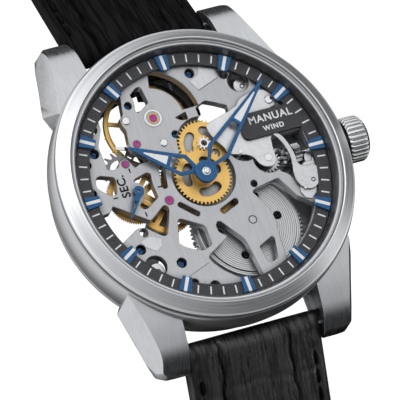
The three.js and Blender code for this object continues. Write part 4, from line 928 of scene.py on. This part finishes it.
def jewel_parts():
    top = PLATE_TOP + 0.08
    for name, radius in (("pallet", 0.5), ("escape", 0.52), ("third", 0.6), ("fourth", 0.45)):
        jewel_stone(f"jewel_{name}", AXIS[name], radius, top)
        rim = ring(f"jewel_seat_{name}", radius, radius + 0.1, top - 0.4, top - 0.04, AXIS[name], 0.03, 40)
        put(rim, HEAD, DARK_STEEL, "polished_steel")
    at = AXIS["balance"]
    put(ring("shock_setting", 0.98, 1.28, 8.7, 9.0, at, 0.06, 64), HEAD, POLISH, "polished_steel")
    put(disc("shock_well", 1.0, 8.72, 8.86, at), HEAD, DARK_STEEL, "polished_steel")
    jewel_stone("jewel_balance", at, 0.56, 8.98)
    lyre = [ring("lyre", 0.6, 0.72, 8.9, 8.97, at, 0.02, 40)]
    for degrees in (45, 135, 225, 315):
        a, b = [polar(radius, math.radians(degrees), at) for radius in (0.66, 0.98)]
        lyre.append(plate("arm", [capsule(a, b, 0.08, 6)], 8.9, 8.97, 0.01))
    put(joined("shock_spring", lyre), HEAD, GILT_PALE, "gilt_brass")


# ------------------------------------------------------------------ wheels
def mesh_radii(first, second, wheel_teeth, pinion_teeth):
    gap = math.dist(AXIS[first], AXIS[second])
    module = 2 * gap / (wheel_teeth + pinion_teeth)
    return module, module * wheel_teeth / 2, module * pinion_teeth / 2


def mesh_phase(first_teeth, first_phase, second_teeth, first, second):
    """Turn of the second gear that puts a gap of it over a tooth of the first."""
    line = math.atan2(AXIS[second][1] - AXIS[first][1], AXIS[second][0] - AXIS[first][0])
    part = first_teeth * (line - first_phase) / TAU
    return line + math.pi - TAU / second_teeth * (0.5 - part)


# One tooth as shares of the pitch across and of the height from root to tip.
TOOTH = [
    (-0.5, 0.0), (-0.27, 0.1), (-0.2, 0.62), (-0.11, 0.94), (0.0, 1.0), (0.11, 0.94), (0.2, 0.62),
    (0.27, 0.1),
]


def gear_loop(teeth, radius, module, phase, centre):
    tip, root = radius + 0.85 * module, radius - 1.2 * module
    pitch = TAU / teeth
    points = []
    for i in range(teeth):
        for across, height in TOOTH:
            points.append(polar(root + (tip - root) * height, phase + (i + across) * pitch, centre))
    return points


def spoke_loops(count, inner, outer, width, centre, turn=0.0):
    """Openings between the spokes of a wheel."""
    step = TAU / count
    far = step / 2 - width / 2 / outer
    near = step / 2 - width / 2 / inner
    loops = []
    for i in range(count):
        middle = turn + i * step
        loop = arc(outer, middle - far, middle + far, centre, 14)
        loop += arc(inner, middle + near, middle - near, centre, 6)
        loops.append(rounded(loop, 0.18, 3))
    return loops


def kidney_loops(count, inner, outer, gap, centre, turn):
    """Curved slots with round ends, evenly spaced."""
    middle, half = (inner + outer) / 2, (outer - inner) / 2
    reach = math.pi / count - (gap / 2 + half) / middle
    loops = []
    for i in range(count):
        start, end = turn + TAU * i / count - reach, turn + TAU * i / count + reach
        last, first = polar(middle, end, centre), polar(middle, start, centre)
        loop = arc(outer, start, end, centre, 10)
        loop += arc(half, end, end + math.pi, last, 8)[1:]
        loop += arc(inner, end, start, centre, 8)[1:]
        loop += arc(half, start + math.pi, start + TAU, first, 8)[1:-1]
        loops.append(loop)
    return loops


def wheel(name, axis, teeth, radius, module, phase, layer, holes=(), bore=0.0, bevel=0.03):
    centre = AXIS[axis]
    loops = [gear_loop(teeth, radius, module, phase, centre)] + list(holes)
    if bore:
        loops.append(circle(bore, centre, 32))
    return plate(name, loops, layer[0], layer[1], bevel)


def shaft(name, axis, steps):
    """Turned arbor: steps are (radius, low, high) from bottom to top."""
    profile = [(0, steps[0][1])]
    for radius, low, high in steps:
        profile += [(radius, low), (radius, high)]
    profile.append((0, steps[-1][2]))
    return lathe(name, profile, AXIS[axis], 28, closed=False)


MINUTE_PHASE = mesh_phase(15, 0, 40, "centre", "minute")
LOW_LAYER = (7.9, 8.12)  # heights of the lowest wheels under the dial
# Module, wheel radius and pinion radius of each pair in the train.
BARREL_M, BARREL_R, CENTRE_PR = mesh_radii("barrel", "centre", 84, 12)
CENTRE_M, CENTRE_R, THIRD_PR = mesh_radii("centre", "third", 80, 10)
THIRD_M, THIRD_R, FOURTH_PR = mesh_radii("third", "fourth", 75, 10)
FOURTH_M, FOURTH_R, ESCAPE_PR = mesh_radii("fourth", "escape", 80, 8)


def barrel_parts():
    barrel = AXIS["barrel"]
    teeth = wheel("drum_teeth", "barrel", 84, BARREL_R, BARREL_M, 0, (5.2, 5.8), [circle(6.9, barrel)])
    shell = lathe("shell", ring_profile(6.88, 7.4, 4.92, 6.68, 0.05), barrel, 160)
    floor = lathe("floor", ring_profile(1.0, 7.0, 4.92, 5.2, 0.05), barrel, 120)
    drum = joined("barrel_shell", [teeth, shell, floor])
    put(drum, "barrel", BARREL_STEEL, "barrel_steel", "barrel_drum")
    spots = [polar(4.5, math.radians(degrees), barrel) for degrees in (4, 59, 181, 243)]
    loops = [circle(6.8, barrel, 140), circle(0.75, barrel, 32)] + [circle(0.6, spot, 20) for spot in spots]
    lid = plate("barrel_lid", loops, 6.56, 6.84)
    put(lid, "barrel", BARREL_STEEL, "barrel_steel", "barrel_cover")
    shades = [disc("shade", 0.7, 6.42, 6.5, spot, 0.02, 24) for spot in spots]
    put(joined("barrel_hole_shades", shades), "barrel", INK_AND_SHADE, "gasket_black")
    steps = [(0.62, 2.9, 5.3), (1.8, 5.32, 6.4), (0.62, 6.42, 6.95), (0.45, 6.95, 8.72)]
    put(shaft("barrel_core", "barrel", steps), "ratchet", POLISH, "polished_steel", "barrel_arbor")
    # A black ring round the arbor: painted shade of the gap about it.
    put(ring("barrel_arbor_shade_ring", 0.5, 0.61, 8.6, 8.93, barrel, 0.02, 40), HEAD, INK_AND_SHADE, "gasket_black")


def train_wheel(axis, body, gear, holes, pinion, steps):
    """Wheel, pinion and arbor as one; gear and pinion are teeth, radius, module, phase, layer."""
    parts = [wheel("w", axis, *gear, holes), wheel("p", axis, *pinion), shaft("s", axis, steps)]
    put(joined(f"{axis}_wheel_gilt", parts), body, GILT, "gilt_brass", f"{axis}_wheel")


def going_train():
    phase = mesh_phase(84, 0, 12, "barrel", "centre")
    gear = (80, CENTRE_R, CENTRE_M, 0, (6.85, 7.02))
    pinion = (12, CENTRE_PR, BARREL_M, phase, (5.1, 6.4))
    steps = [(0.3, 3.5, 4.5), (0.55, 4.5, 6.3), (1.2, 6.3, 7.02), (0.55, 7.02, 7.2), (0.3, 7.2, 10.1)]
    train_wheel("centre", "centre", gear, (), pinion, steps)
    phase = mesh_phase(80, 0, 10, "centre", "third")
    gear = (75, THIRD_R, THIRD_M, 0, (6.45, 6.7))
    pinion = (10, THIRD_PR, CENTRE_M, phase, (6.6, 7.05))
    holes = spoke_loops(4, 1.15, THIRD_R - 0.9, 0.75, AXIS["third"])
    steps = [(0.12, 4.05, 4.5), (0.4, 4.5, 7.4), (0.12, 7.4, 7.85)]
    train_wheel("third", "third", gear, holes, pinion, steps)
    phase = mesh_phase(75, 0, 10, "third", "fourth")
    gear = (80, FOURTH_R, FOURTH_M, 0, (7.1, 7.35))
    pinion = (10, 0.97 * FOURTH_PR, THIRD_M, phase, (6.35, 7.1))
    holes = spoke_loops(4, 1.1, FOURTH_R - 0.85, 0.7, AXIS["fourth"])
    steps = [(0.12, 4.05, 4.5), (0.35, 4.5, 7.4), (0.2, 7.4, 9.3)]
    train_wheel("fourth", "seconds", gear, holes, pinion, steps)


def escape_wheel():
    """Fifteen hooked teeth; each is given as radius and share of the pitch."""
    centre = AXIS["escape"]
    count = 15
    pitch = TAU / count
    hook = ((2.05, -0.45), (2.4, -0.2), (2.75, -0.05), (2.85, 0.1), (2.2, 0.12))
    outline = [polar(r, i * pitch + 0.1 + share * pitch, centre) for i in range(count) for r, share in hook]
    parts = [plate("w", [outline] + spoke_loops(3, 0.8, 1.6, 0.4, centre, 0.3), 6.45, 6.7, 0.02)]
    phase = mesh_phase(80, 0, 8, "fourth", "escape")
    parts.append(wheel("p", "escape", 8, ESCAPE_PR, FOURTH_M, phase, (6.6, 7.4)))
    parts.append(shaft("s", "escape", [(0.1, 4.05, 4.5), (0.3, 4.5, 7.4), (0.1, 7.4, 7.85)]))
    put(joined("escape_wheel_steel", parts), "escape", DARK_STEEL, "polished_steel", "escape_wheel")


def motion_works():
    """The gilt wheels that carry the minute and the hour hand."""
    minute_m, minute_r, cannon_r = mesh_radii("centre", "minute", 40, 15)
    hour_m, hour_r, pinion_r = mesh_radii("centre", "minute", 45, 10)
    holes = kidney_loops(3, 1.45, 2.75, 0.9, AXIS["minute"], math.radians(40))
    parts = [wheel("w", "minute", 40, minute_r, minute_m, MINUTE_PHASE, LOW_LAYER, holes, 0.42, 0.02)]
    put(joined("minute_wheel_gilt", parts), "minute_gear", GILT_PALE, "gilt_brass", "minute_wheel")
    pinion = wheel("minute_wheel_pinion", "minute", 10, pinion_r, hour_m, 0, (8.13, 8.75), (), 0.42, 0.02)
    put(pinion, "minute_gear", POLISH, "polished_steel", "minute_wheel")
    hour_phase = mesh_phase(10, 0, 45, "minute", "centre")
    holes = kidney_loops(3, 1.65, 3.0, 1.3, MIDDLE, math.radians(-80))
    parts = [wheel("w", "centre", 45, hour_r, hour_m, hour_phase, (8.3, 8.55), holes, 0.72, 0.02)]
    parts.append(ring("tube", 0.72, 0.98, 8.4, 10.1, count=48, edge=0.03))
    put(joined("hour_wheel_gilt", parts), "hour", GILT_PALE, "gilt_brass", "hour_wheel")
    parts = [wheel("w", "centre", 15, cannon_r, minute_m, 0, (7.85, 8.2), (), 0.4, 0.02)]
    parts.append(ring("tube", 0.4, 0.62, 7.2, 10.3, count=40, edge=0.03))
    cap = [(0, 10.3), (0.6, 10.3), (0.6, 10.5), (0.47, 10.52), (0.47, 10.62), (0.36, 10.74), (0, 10.78)]
    parts.append(lathe("cap", cap, count=40, closed=False))
    put(joined("cannon_pinion_steel", parts), "minute", POLISH, "polished_steel", "cannon_pinion")


def setting_wheels():
    module, first_r, second_r = mesh_radii("intermediate", "setting", 22, 21)
    phase = mesh_phase(40, MINUTE_PHASE, 22, "minute", "intermediate")
    gears = (
        ("intermediate", 22, first_r - 0.08, phase),
        ("setting", 21, second_r - 0.05, mesh_phase(22, phase, 21, "intermediate", "setting")),
    )
    for axis, teeth, radius, phase in gears:
        gear = wheel(f"{axis}_wheel_steel", axis, teeth, radius, 0.95 * module, phase, LOW_LAYER, (), 0.42)
        put(gear, f"{axis}_gear", KEYLESS, "keyless_steel", f"{axis}_wheel")


def winding_wheels():
    module, ratchet_r, crown_r = mesh_radii("crown_wheel", "barrel", 48, 30)
    phase = mesh_phase(30, 0, 48, "crown_wheel", "barrel")
    layer = (2.85, 3.3)
    ratchet = wheel("ratchet_wheel_steel", "barrel", 48, ratchet_r, module, phase, layer, (), 1.15, 0.04)
    put(ratchet, "ratchet", SUNRAY, "polished_steel", "ratchet_wheel")
    crown = wheel("w", "crown_wheel", 30, crown_r, module, 0, layer, (), 0.6, 0.04)
    collar = ring("c", 1.5, 2.3, 3.2, 5.4, AXIS["crown_wheel"])
    put(joined("crown_wheel_steel", [crown, collar]), "crown_gear", SUNRAY, "polished_steel", "crown_wheel")


def balance_parts():
    centre = AXIS["balance"]
    parts = [lathe("rim", ring_profile(5.55, 6.25, 5.1, 5.75, 0.1), centre, 180)]
    arms = (40, 160, 280)
    for degrees in arms:
        end = polar(5.7, math.radians(degrees), centre)
        parts.append(plate("arm", [capsule(centre, end, 0.3)], 5.25, 5.55))
    for degrees in range(0, 360, 20):
        if degrees not in arms:
            at = polar(6.22, math.radians(degrees), centre)
            parts.append(lathe("weight", disc_profile(0.16, 5.2, 5.65, 0.03), at, 14, False))
    steps = [(0.1, 4.1, 4.5), (0.28, 4.5, 5.1), (0.75, 5.1, 5.75), (0.28, 5.75, 6.35)]
    parts.append(shaft("s", "balance", steps))
    put(joined("balance_rim", parts), "balance", GILT_PALE, "gilt_brass", "balance_wheel")
    roller = shaft("balance_roller", "balance", [(1.1, 6.35, 6.6), (0.28, 6.6, 7.3), (0.1, 7.3, 7.7)])
    put(roller, "balance", POLISH, "gilt_brass", "balance_wheel")
    toward_fork = math.atan2(AXIS["pallet"][1] - centre[1], AXIS["pallet"][0] - centre[0])
    pin = disc("impulse_pin", 0.13, 6.5, 7.1, polar(0.85, toward_fork, centre), 0.02, 16)
    put(pin, "balance", RUBY, "polished_steel")


# ------------------------------------------------------------------ hands
def hand_loops(length, shoulder, width, rail, cross_bar, hub, angle):
    """Outline, inner opening and tip opening of a skeleton hand."""
    half = [(hub * 0.9, -hub * 0.4), (shoulder, -width), (length - 0.25, -0.16), (length, 0)]
    outline = half + [(r, -s) for r, s in reversed(half[:3])]
    inner = width - rail * 1.15

    def side_at(r):
        return inner * (1 - (r - shoulder) / (length - 2 - shoulder))

    near, far, point = cross_bar - rail / 2, cross_bar + rail / 2, length - 2.4
    opening = [
        (hub + 0.35, -0.25), (shoulder + 0.1, -inner), (near, -side_at(near)), (near, side_at(near)),
        (shoulder + 0.1, inner), (hub + 0.35, 0.25),
    ]
    tip = [(far, -side_at(far)), (point, -0.09), (point, 0.09), (far, side_at(far))]
    return [turned(points, angle) for points in (outline, opening, tip)]


def hand_parts():
    hands = (
        ("hour_hand", "hour", (11.4, 3.2, 1.65, 0.5, 5.3, 1.6, HOUR_ANGLE), (9.8, 10.0), 1.55, 1.0),
        ("minute_hand", "minute", (16.7, 3.7, 1.7, 0.5, 9.0, 1.4, MINUTE_ANGLE), (10.3, 10.5), 1.6, 0.62),
    )
    for name, body, sizes, (low, high), hub, bore in hands:
        outline, opening, tip = hand_loops(*sizes)
        blade = plate("blade", [outline, opening, tip, circle(bore, count=32)], low, high)
        boss = lathe("boss", ring_profile(bore, hub, low - 0.02, high + 0.06, 0.07), count=72)
        put(joined(name + "_blued", [blade, boss]), body, BLUE, "blue_hand", name)
        fill = plate(name + "_inlay", [tip], low + 0.02, high - 0.05, 0.005)
        put(fill, body, LUME, "gasket_white")
    centre = AXIS["fourth"]
    outline = turned([(0.5, -0.25), (1.4, -0.45), (5, 0), (1.4, 0.45), (0.5, 0.25)], SECONDS_ANGLE, centre)
    opening = turned([(1.6, -0.2), (3.4, 0), (1.6, 0.2)], SECONDS_ANGLE, centre)
    blade = plate("blade", [outline, opening], 9.35, 9.5, 0.03)
    boss = lathe("boss", ring_profile(0.2, 0.75, 9.34, 9.54, 0.04), centre, 48)
    put(joined("seconds_hand_blued", [blade, boss]), "seconds", BLUE, "blue_hand", "seconds_hand")


# ------------------------------------------------------------------ pieces kept from the frame
def carry(node, material, bevel):
    """Dresses a CAD solid as it is, with its facets merged and its edges rounded."""
    piece = NODES[node]
    modify(piece, "WELD", merge_threshold=5 * WELD_REACH)
    modify(piece, "DECIMATE", decimate_type="DISSOLVE", angle_limit=math.radians(1))
    break_edges(piece, bevel, 2)
    paint(piece, material)


def carried_parts():
    for node in ("barrel_bridge", "train_bridge", "balance_cock"):
        carry(node, BRIDGE_STEEL, 0.08)
    carry("pallet_bridge", BRIGHT, 0.05)
    carry("pallet_fork", POLISH, 0.03)
    carry("hairspring", BLUE, 0.01)
    carry("mainspring", POLISH, 0.02)
    for node in ("setting_lever_jumper", "setting_lever", "click", "click_spring", "regulator"):
        carry(node, BRIGHT, 0.05)
    for node in ("winding_pinion", "sliding_pinion"):
        carry(node, KEYLESS, 0.03)
    for node, bevel in (("buckle_frame", 0.4), ("buckle_tongue", 0.15), ("buckle_bar", 0.05)):
        carry(node, POLISH, bevel)


def yoke_plate():
    """The curved lever of the keyless works, with its pivot mark."""
    outline = [
        (11.4, 3.2), (12.1, 2.4), (12.7, 0.9), (12.9, -0.4), (12.8, -1.7), (12.4, -3.1), (12.4, -4.3),
        (12.8, -5.3), (13.6, -5.9), (14.4, -6.0), (15.3, -5.6), (15.9, -4.7), (16.1, -3.6),
        (16.0, -2.9), (15.5, -2.5), (14.8, -2.7), (13.9, -2.4), (13.5, -1.8), (13.6, -0.6),
        (13.4, 0.8), (13.0, 2.1), (12.5, 3.0),
    ]
    lever = plate("yoke_lever", [rounded(outline, 0.5, 4)], 9.2, 9.4, 0.05)
    put(lever, "yoke_arm", KEYLESS, "keyless_steel", "yoke")
    mark = ring("yoke_mark", 0.2, 0.32, 9.36, 9.415, (14.8, -4.75), 0.01, 28)
    put(mark, "yoke_arm", INK_AND_SHADE, "gasket_black")


# ------------------------------------------------------------------ strap
STRAP_THICK = 3.8
STRAP_HALF_WIDTHS = (10.0, 9.0)  # at the lugs and at the far end
STITCH_PITCH, STITCH_INSET = 2.6, 1.35
# Plain side of a section, as shares of the half width and of the half thickness.
LINING = [
    (1.0, -0.50), (0.985, -0.78), (0.9, -0.9), (0.45, -0.94), (0, -0.95), (-0.45, -0.94), (-0.9, -0.9),
    (-0.985, -0.78), (-1.0, -0.50),
]


def chord_share(turn):
    """Chord of an arc over its length."""
    return math.sin(turn / 2) / (turn / 2) if abs(turn) > 1e-9 else 1


class Strap:
    """One half: a centre line of (length, bend in degrees) runs, and its sizes along it."""

    def __init__(self, end, drop, runs, length):
        self.end = end
        self.length = length
        self.runs = []
        y, z, heading, travelled = LUG_Y, BAR_Z, math.radians(drop), 0.0
        for reach, bend in runs:
            turn = math.radians(bend)
            self.runs.append((travelled, reach, turn, y, z, heading))
            chord = reach * chord_share(turn)
            y += math.cos(heading + turn / 2) * chord
            z -= math.sin(heading + turn / 2) * chord
            heading += turn
            travelled += reach

    def at(self, s):
        """Place and heading of the centre line at a distance along it."""
        for start, reach, turn, y, z, heading in reversed(self.runs):
            if s >= start or start == 0:
                part = turn * (s - start) / reach
                chord = (s - start) * chord_share(part)
                middle = heading + part / 2
                along = self.end * (y + math.cos(middle) * chord)
                return along, z - math.sin(middle) * chord, heading + part

    def size(self, s):
        """Half the thickness and half the width."""
        share = max(0.0, s) / self.length
        thick = STRAP_THICK - 1.6 * min(1, share * 1.6)
        return thick / 2, STRAP_HALF_WIDTHS[0] + (STRAP_HALF_WIDTHS[1] - STRAP_HALF_WIDTHS[0]) * share

    def points(self, s, section):
        """A section of (x, height) points, set square to the centre line."""
        y, z, heading = self.at(s)
        out_y, out_z = self.end * math.sin(heading), math.cos(heading)
        return [(x, y + out_y * h, z + out_z * h) for x, h in section]


def crease_relief(seed, length):
    """Depth of the hide's folds: two long ones and, crossing them, a few short ones."""
    random = np.random.default_rng(seed)
    sway = random.uniform(0, TAU, 8)
    folds = []
    for i in range(int(length / 13)):
        folds.append((4.2 + 13.5 * i + random.uniform(-1.5, 1.5), random.uniform(0.25, 0.55)))

    def dip(distance, width):
        return math.exp(-((distance / width) ** 2))

    def depth(x, s):
        left = -5.7 + 0.35 * math.sin(s * 0.31 + sway[0]) + 0.16 * math.sin(s * 1.3 + sway[1])
        right = 5.3 + 0.3 * math.sin(s * 0.27 + sway[2]) + 0.14 * math.sin(s * 1.6 + sway[3])
        total = 0.42 * dip(x - left, 0.24) + 0.36 * dip(x - right, 0.22)
        total += 0.05 * dip(x - left - 0.5, 0.9) + 0.06 * math.sin(x * 1.9 + 0.22 * s + sway[4]) ** 2
        for at, strength in folds:
            bowed = at + 0.5 * math.sin(x * 0.45 + sway[5] + at) + 0.2 * math.sin(x * 1.7 + at)
            total += 0.12 * strength * dip(s - bowed, 0.35)
        return total

    return depth


def padded_height(x, u, s, half, wide, relief):
    """Height of the raised face at x: a swell, with a stitch groove and creases in it."""
    pad = half * (0.68 + 0.32 * (1 - u * u)) * (1 - 0.22 * abs(u) ** 9)
    from_groove = (abs(x) - wide + STITCH_INSET) / 0.42
    groove = math.exp(-(from_groove**2)) * (0.22 + 0.06 * math.sin(TAU * s / STITCH_PITCH))
    inside = max(0.0, min(1.0, (wide - 1.5 - abs(x)) / 0.5))
    return pad - relief(x, s) * inside - groove


def tip_shape(left, wide, swell):
    """Half width and swell near the rounded free end, where left is the distance to it."""
    if left < 9:
        wide *= max(0.05, math.sqrt(max(0.0, 1 - ((9 - left) / 9.2) ** 2.6)))
    if left < 1.2:
        swell = 0.5 + 0.5 * math.sqrt(max(0, left / 1.2))
    return wide, swell


def strap_skin(name, strap, seed, tip):
    """Padded leather with a raised, creased face, a rounded edge and a plain lining."""
    relief = crease_relief(seed, strap.length)
    across, spacing, nose = 116, 0.42, 1.9
    stations = [(-nose * math.cos(a), math.sin(a)) for a in np.linspace(0.12, QUARTER, 7)]
    stations += [(s, 1.0) for s in np.arange(spacing, strap.length - 0.01, spacing)] + [(strap.length, 1.0)]
    fractions = [-1 + 2 * k / across for k in range(across + 1)]
    fractions = [math.copysign(abs(u) ** 0.9, u) for u in fractions]
    verts, faces = [], []
    for s, swell in stations:
        half, wide = strap.size(s)
        if tip:
            wide, swell = tip_shape(strap.length - s, wide, swell)
        section = [(u * wide, padded_height(u * wide, u, s, half, wide, relief) * swell) for u in fractions]
        section += [(u * wide, half * v * swell) for u, v in LINING]
        verts += strap.points(s, section)
    width = len(fractions) + len(LINING)
    for i in range(len(stations) - 1):
        for k in range(width):
            n = (k + 1) % width
            faces.append((i * width + k, i * width + n, (i + 1) * width + n, (i + 1) * width + k))
    last = (len(stations) - 1) * width
    faces += [tuple(range(width)), tuple(range(last, last + width))]
    return mesh_piece(name, verts, faces, 50)


def stitch_row(name, strap, start, stop):
    """Waxed thread showing as short bars in the groove along both edges."""
    verts, faces = [], []
    length, radius, sides, cuts = 2.0, 0.3, 6, 7
    s = start
    while s < stop - length:
        for side in (1, -1):
            base = len(verts)
            for t in np.linspace(0, 1, cuts):
                half, wide = strap.size(s + length * t)
                x = side * (wide - STITCH_INSET)
                lift = half * 0.66 - 0.12 + 0.1 * math.sin(math.pi * t)
                fat = radius * (0.35 + 0.65 * math.sin(math.pi * t) ** 0.5)
                verts += strap.points(s + length * t, circle(fat, (x, lift), sides))
            for i in range(cuts - 1):
                here = base + sides * i
                for k in range(sides):
                    n = (k + 1) % sides
                    faces.append((here + k, here + n, here + sides + n, here + sides + k))
            end = base + sides * (cuts - 1)
            faces += [tuple(range(base, base + sides)), tuple(range(end, end + sides))]
        s += STITCH_PITCH
    return mesh_piece(name, verts, faces, 80)


def keeper_loop(name, y, low, high):
    """Leather loop round the strap, with rounded corners and edges."""
    loops = []
    for x, near, far, corner in ((10.6, y - 2.35, y + 4.4, 1.3), (9.6, y - 1.35, y + 3.4, 0.6)):
        loops.append(rounded([(-x, near), (x, near), (x, far), (-x, far)], corner, 6))
    return plate(name, loops, low, high, 0.3, steps=3)


def blend(piece, strap, flex, material, replaced=()):
    """Paints a piece, bakes its placement into its mesh and hides the CAD nodes it replaces; the piece is
    not bent at the flex line.
    """
    paint(piece, material)
    start, stop = [(0, y * MM, z * MM) for y, z, _ in (strap.at(flex - 6), strap.at(flex + 6))]
    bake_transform(piece)
    if replaced:
        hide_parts(*replaced)


def strap_12_parts():
    """The short half, which holds the buckle and the keepers."""
    strap = Strap(1, 25, [(24, 0), (22.7, 65), (22, 0)], 68.7)
    y, z, _ = strap.at(strap.length)
    skin = strap_skin("strap_12_leather", strap, 7, False)
    notch = [(-1.6, y - 3), (1.6, y - 3), (1.6, y + 3), (-1.6, y + 3)]
    cut_out(skin, turn_to_x(disc("bore", 1.05, 0, 26), -13, LUG_Y, BAR_Z))
    cut_out(skin, prism("notch", notch, z - 3, z + 3.2))
    profile = rounded([(0.62, 0), (1.3, 0), (1.3, 7.4), (0.62, 7.4)], 0.25)
    rolls = [turn_to_x(lathe("roll", profile, count=40), x, y, z) for x in (-9, 1.6)]
    put(joined("buckle_roll", rolls), "strap_12_far", LEATHER, "strap_leather", "strap_12_lower")
    blend(skin, strap, 46.7, LEATHER, ("strap_12_upper", "strap_12_lower"))
    blend(stitch_row("strap_12_stitching", strap, 3.5, 62.0), strap, 46.7, THREAD)
    fixed = keeper_loop("keeper_fixed", y, z + 4.6, z + 8.6)
    put(fixed, "strap_12_far", LEATHER, "strap_leather", "fixed_keeper")
    loose = keeper_loop("keeper_loose", y, z + 14, z + 18)
    put(loose, "loose_keeper", LEATHER, "strap_leather", "free_keeper")


def strap_6_parts():
    """The long half, with the holes for the tongue."""
    strap = Strap(-1, 32, [(16, 0), (22.3, 58), (25, 0), (39.3, 90), (13, 0)], 115.6)
    skin = strap_skin("strap_6_leather", strap, 11, True)
    for from_tip in (8, 14, 20, 26):
        y, z, heading = strap.at(strap.length - from_tip)
        cut_out(skin, moved(disc("hole", 0.9, -4, 4), 0, y, z, heading, "X"))
    cut_out(skin, turn_to_x(disc("bore", 1.05, 0, 26), -13, -LUG_Y, BAR_Z))
    blend(skin, strap, 38.3, LEATHER_6, ("strap_6_upper", "strap_6_lower"))
    blend(stitch_row("strap_6_stitching", strap, 3.5, 106.0), strap, 38.3, THREAD)


# ------------------------------------------------------------------ studio
def floor_paper():
    """Bright floor that the camera sees plain; to glossy rays it glows as a painted reflection, bright at
    low x and dark at high x.
    """
    shader = Shader("floor_paper", (0.9, 0.9, 0.9), 0.0, 0.8)
    seen = shader.node("ShaderNodeEmission", Color=(1, 1, 1, 1), Strength=1.25)
    plain = shader.mix_shaders(0.25, seen.outputs[0], shader.bsdf.outputs[0])
    split = shader.node("ShaderNodeSeparateXYZ")
    shader.link(shader.place(), split.inputs[0])
    # Painted reflection: a glow that metal mirrors, fading from bright to none across x.
    painted_reflection = shader.node("ShaderNodeEmission")
    shader.link(shader.remap(split.outputs["X"], -0.078, -0.024, 0.95, 0.0), painted_reflection.inputs["Strength"])
    in_metal = shader.node("ShaderNodeLightPath").outputs["Is Glossy Ray"]
    shader.show(shader.mix_shaders(in_metal, plain, painted_reflection.outputs[0]))
    shader.material.cycles.emission_sampling = "NONE"
    return shader.material


def floor():
    side = 3.0
    height = CAD_BOX[0][2] - 0.001
    mesh = bpy.data.meshes.new("studio_floor")
    corners = [(x * side, y * side, height) for x, y in ((-1, -1), (1, -1), (1, 1), (-1, 1))]
    mesh.from_pydata(corners, [], [(0, 1, 2, 3)])
    mesh.materials.append(floor_paper())
    add_object("studio_floor", mesh)


def sky():
    """Soft light that is brightest above the twelve o'clock side."""
    world = bpy.data.worlds.new("studio")
    bpy.context.scene.world = world
    world.use_nodes = True
    nodes = Nodes(world.node_tree)
    back = nodes.tree.nodes["Background"]
    back.inputs["Color"].default_value = (0.98, 0.99, 1.0, 1)
    toward = nodes.node("ShaderNodeVectorMath")
    toward.operation = "DOT_PRODUCT"
    toward.inputs[1].default_value = (-0.2, 0.6, 0.77)
    nodes.link(nodes.node("ShaderNodeTexCoord").outputs["Generated"], toward.inputs[0])
    nodes.link(nodes.remap(toward.outputs["Value"], -0.25, 0.9, 0.03, 1.08), back.inputs["Strength"])


def area_light(name, direction, distance, size, watts):
    """A round lamp that looks at the dial."""
    light = bpy.data.lights.new(name, "AREA")
    light.shape = "DISK"
    light.size = size
    light.energy = watts
    lamp = add_object(name, light)
    way = Vector(direction).normalized()
    lamp.location = Vector((0, 0, 8)) * MM + way * distance
    lamp.rotation_euler = way.to_track_quat("Z", "Y").to_euler()


def view():
    back = Vector((-0.3549, -0.2746, 0.8937)).normalized()
    up = Vector((0.2400, 0.8971, 0.3710))
    right = up.cross(back).normalized()
    up = back.cross(right)
    aim = Vector((-1.59, -3.13, 8.31)) * MM
    distance = 0.875
    camera = bpy.data.cameras.new("camera")
    camera.lens = 574
    camera.sensor_width = 36
    camera.clip_start = 0.01
    camera.clip_end = 10
    holder = add_object("camera", camera)
    turn = Matrix((right, up, back)).transposed().to_4x4()
    holder.matrix_world = Matrix.Translation(aim + back * distance) @ turn
    bpy.context.scene.camera = holder
    bpy.context.scene.view_settings.view_transform = "Standard"


middle_parts()
lug_parts()
front_parts()
back_parts()
crown_parts()
dial_parts()
main_plate()
plate_details()
setting_cover()
jewel_parts()
barrel_parts()
going_train()
escape_wheel()
motion_works()
setting_wheels()
winding_wheels()
balance_parts()
hand_parts()
carried_parts()
yoke_plate()
strap_12_parts()
strap_6_parts()
floor()
sky()
area_light("key", (-0.55, 0.55, 0.65), 0.5, 0.35, 0.7)
area_light("fill", (0.95, -0.35, 0.35), 0.6, 0.3, 0.4)
view()
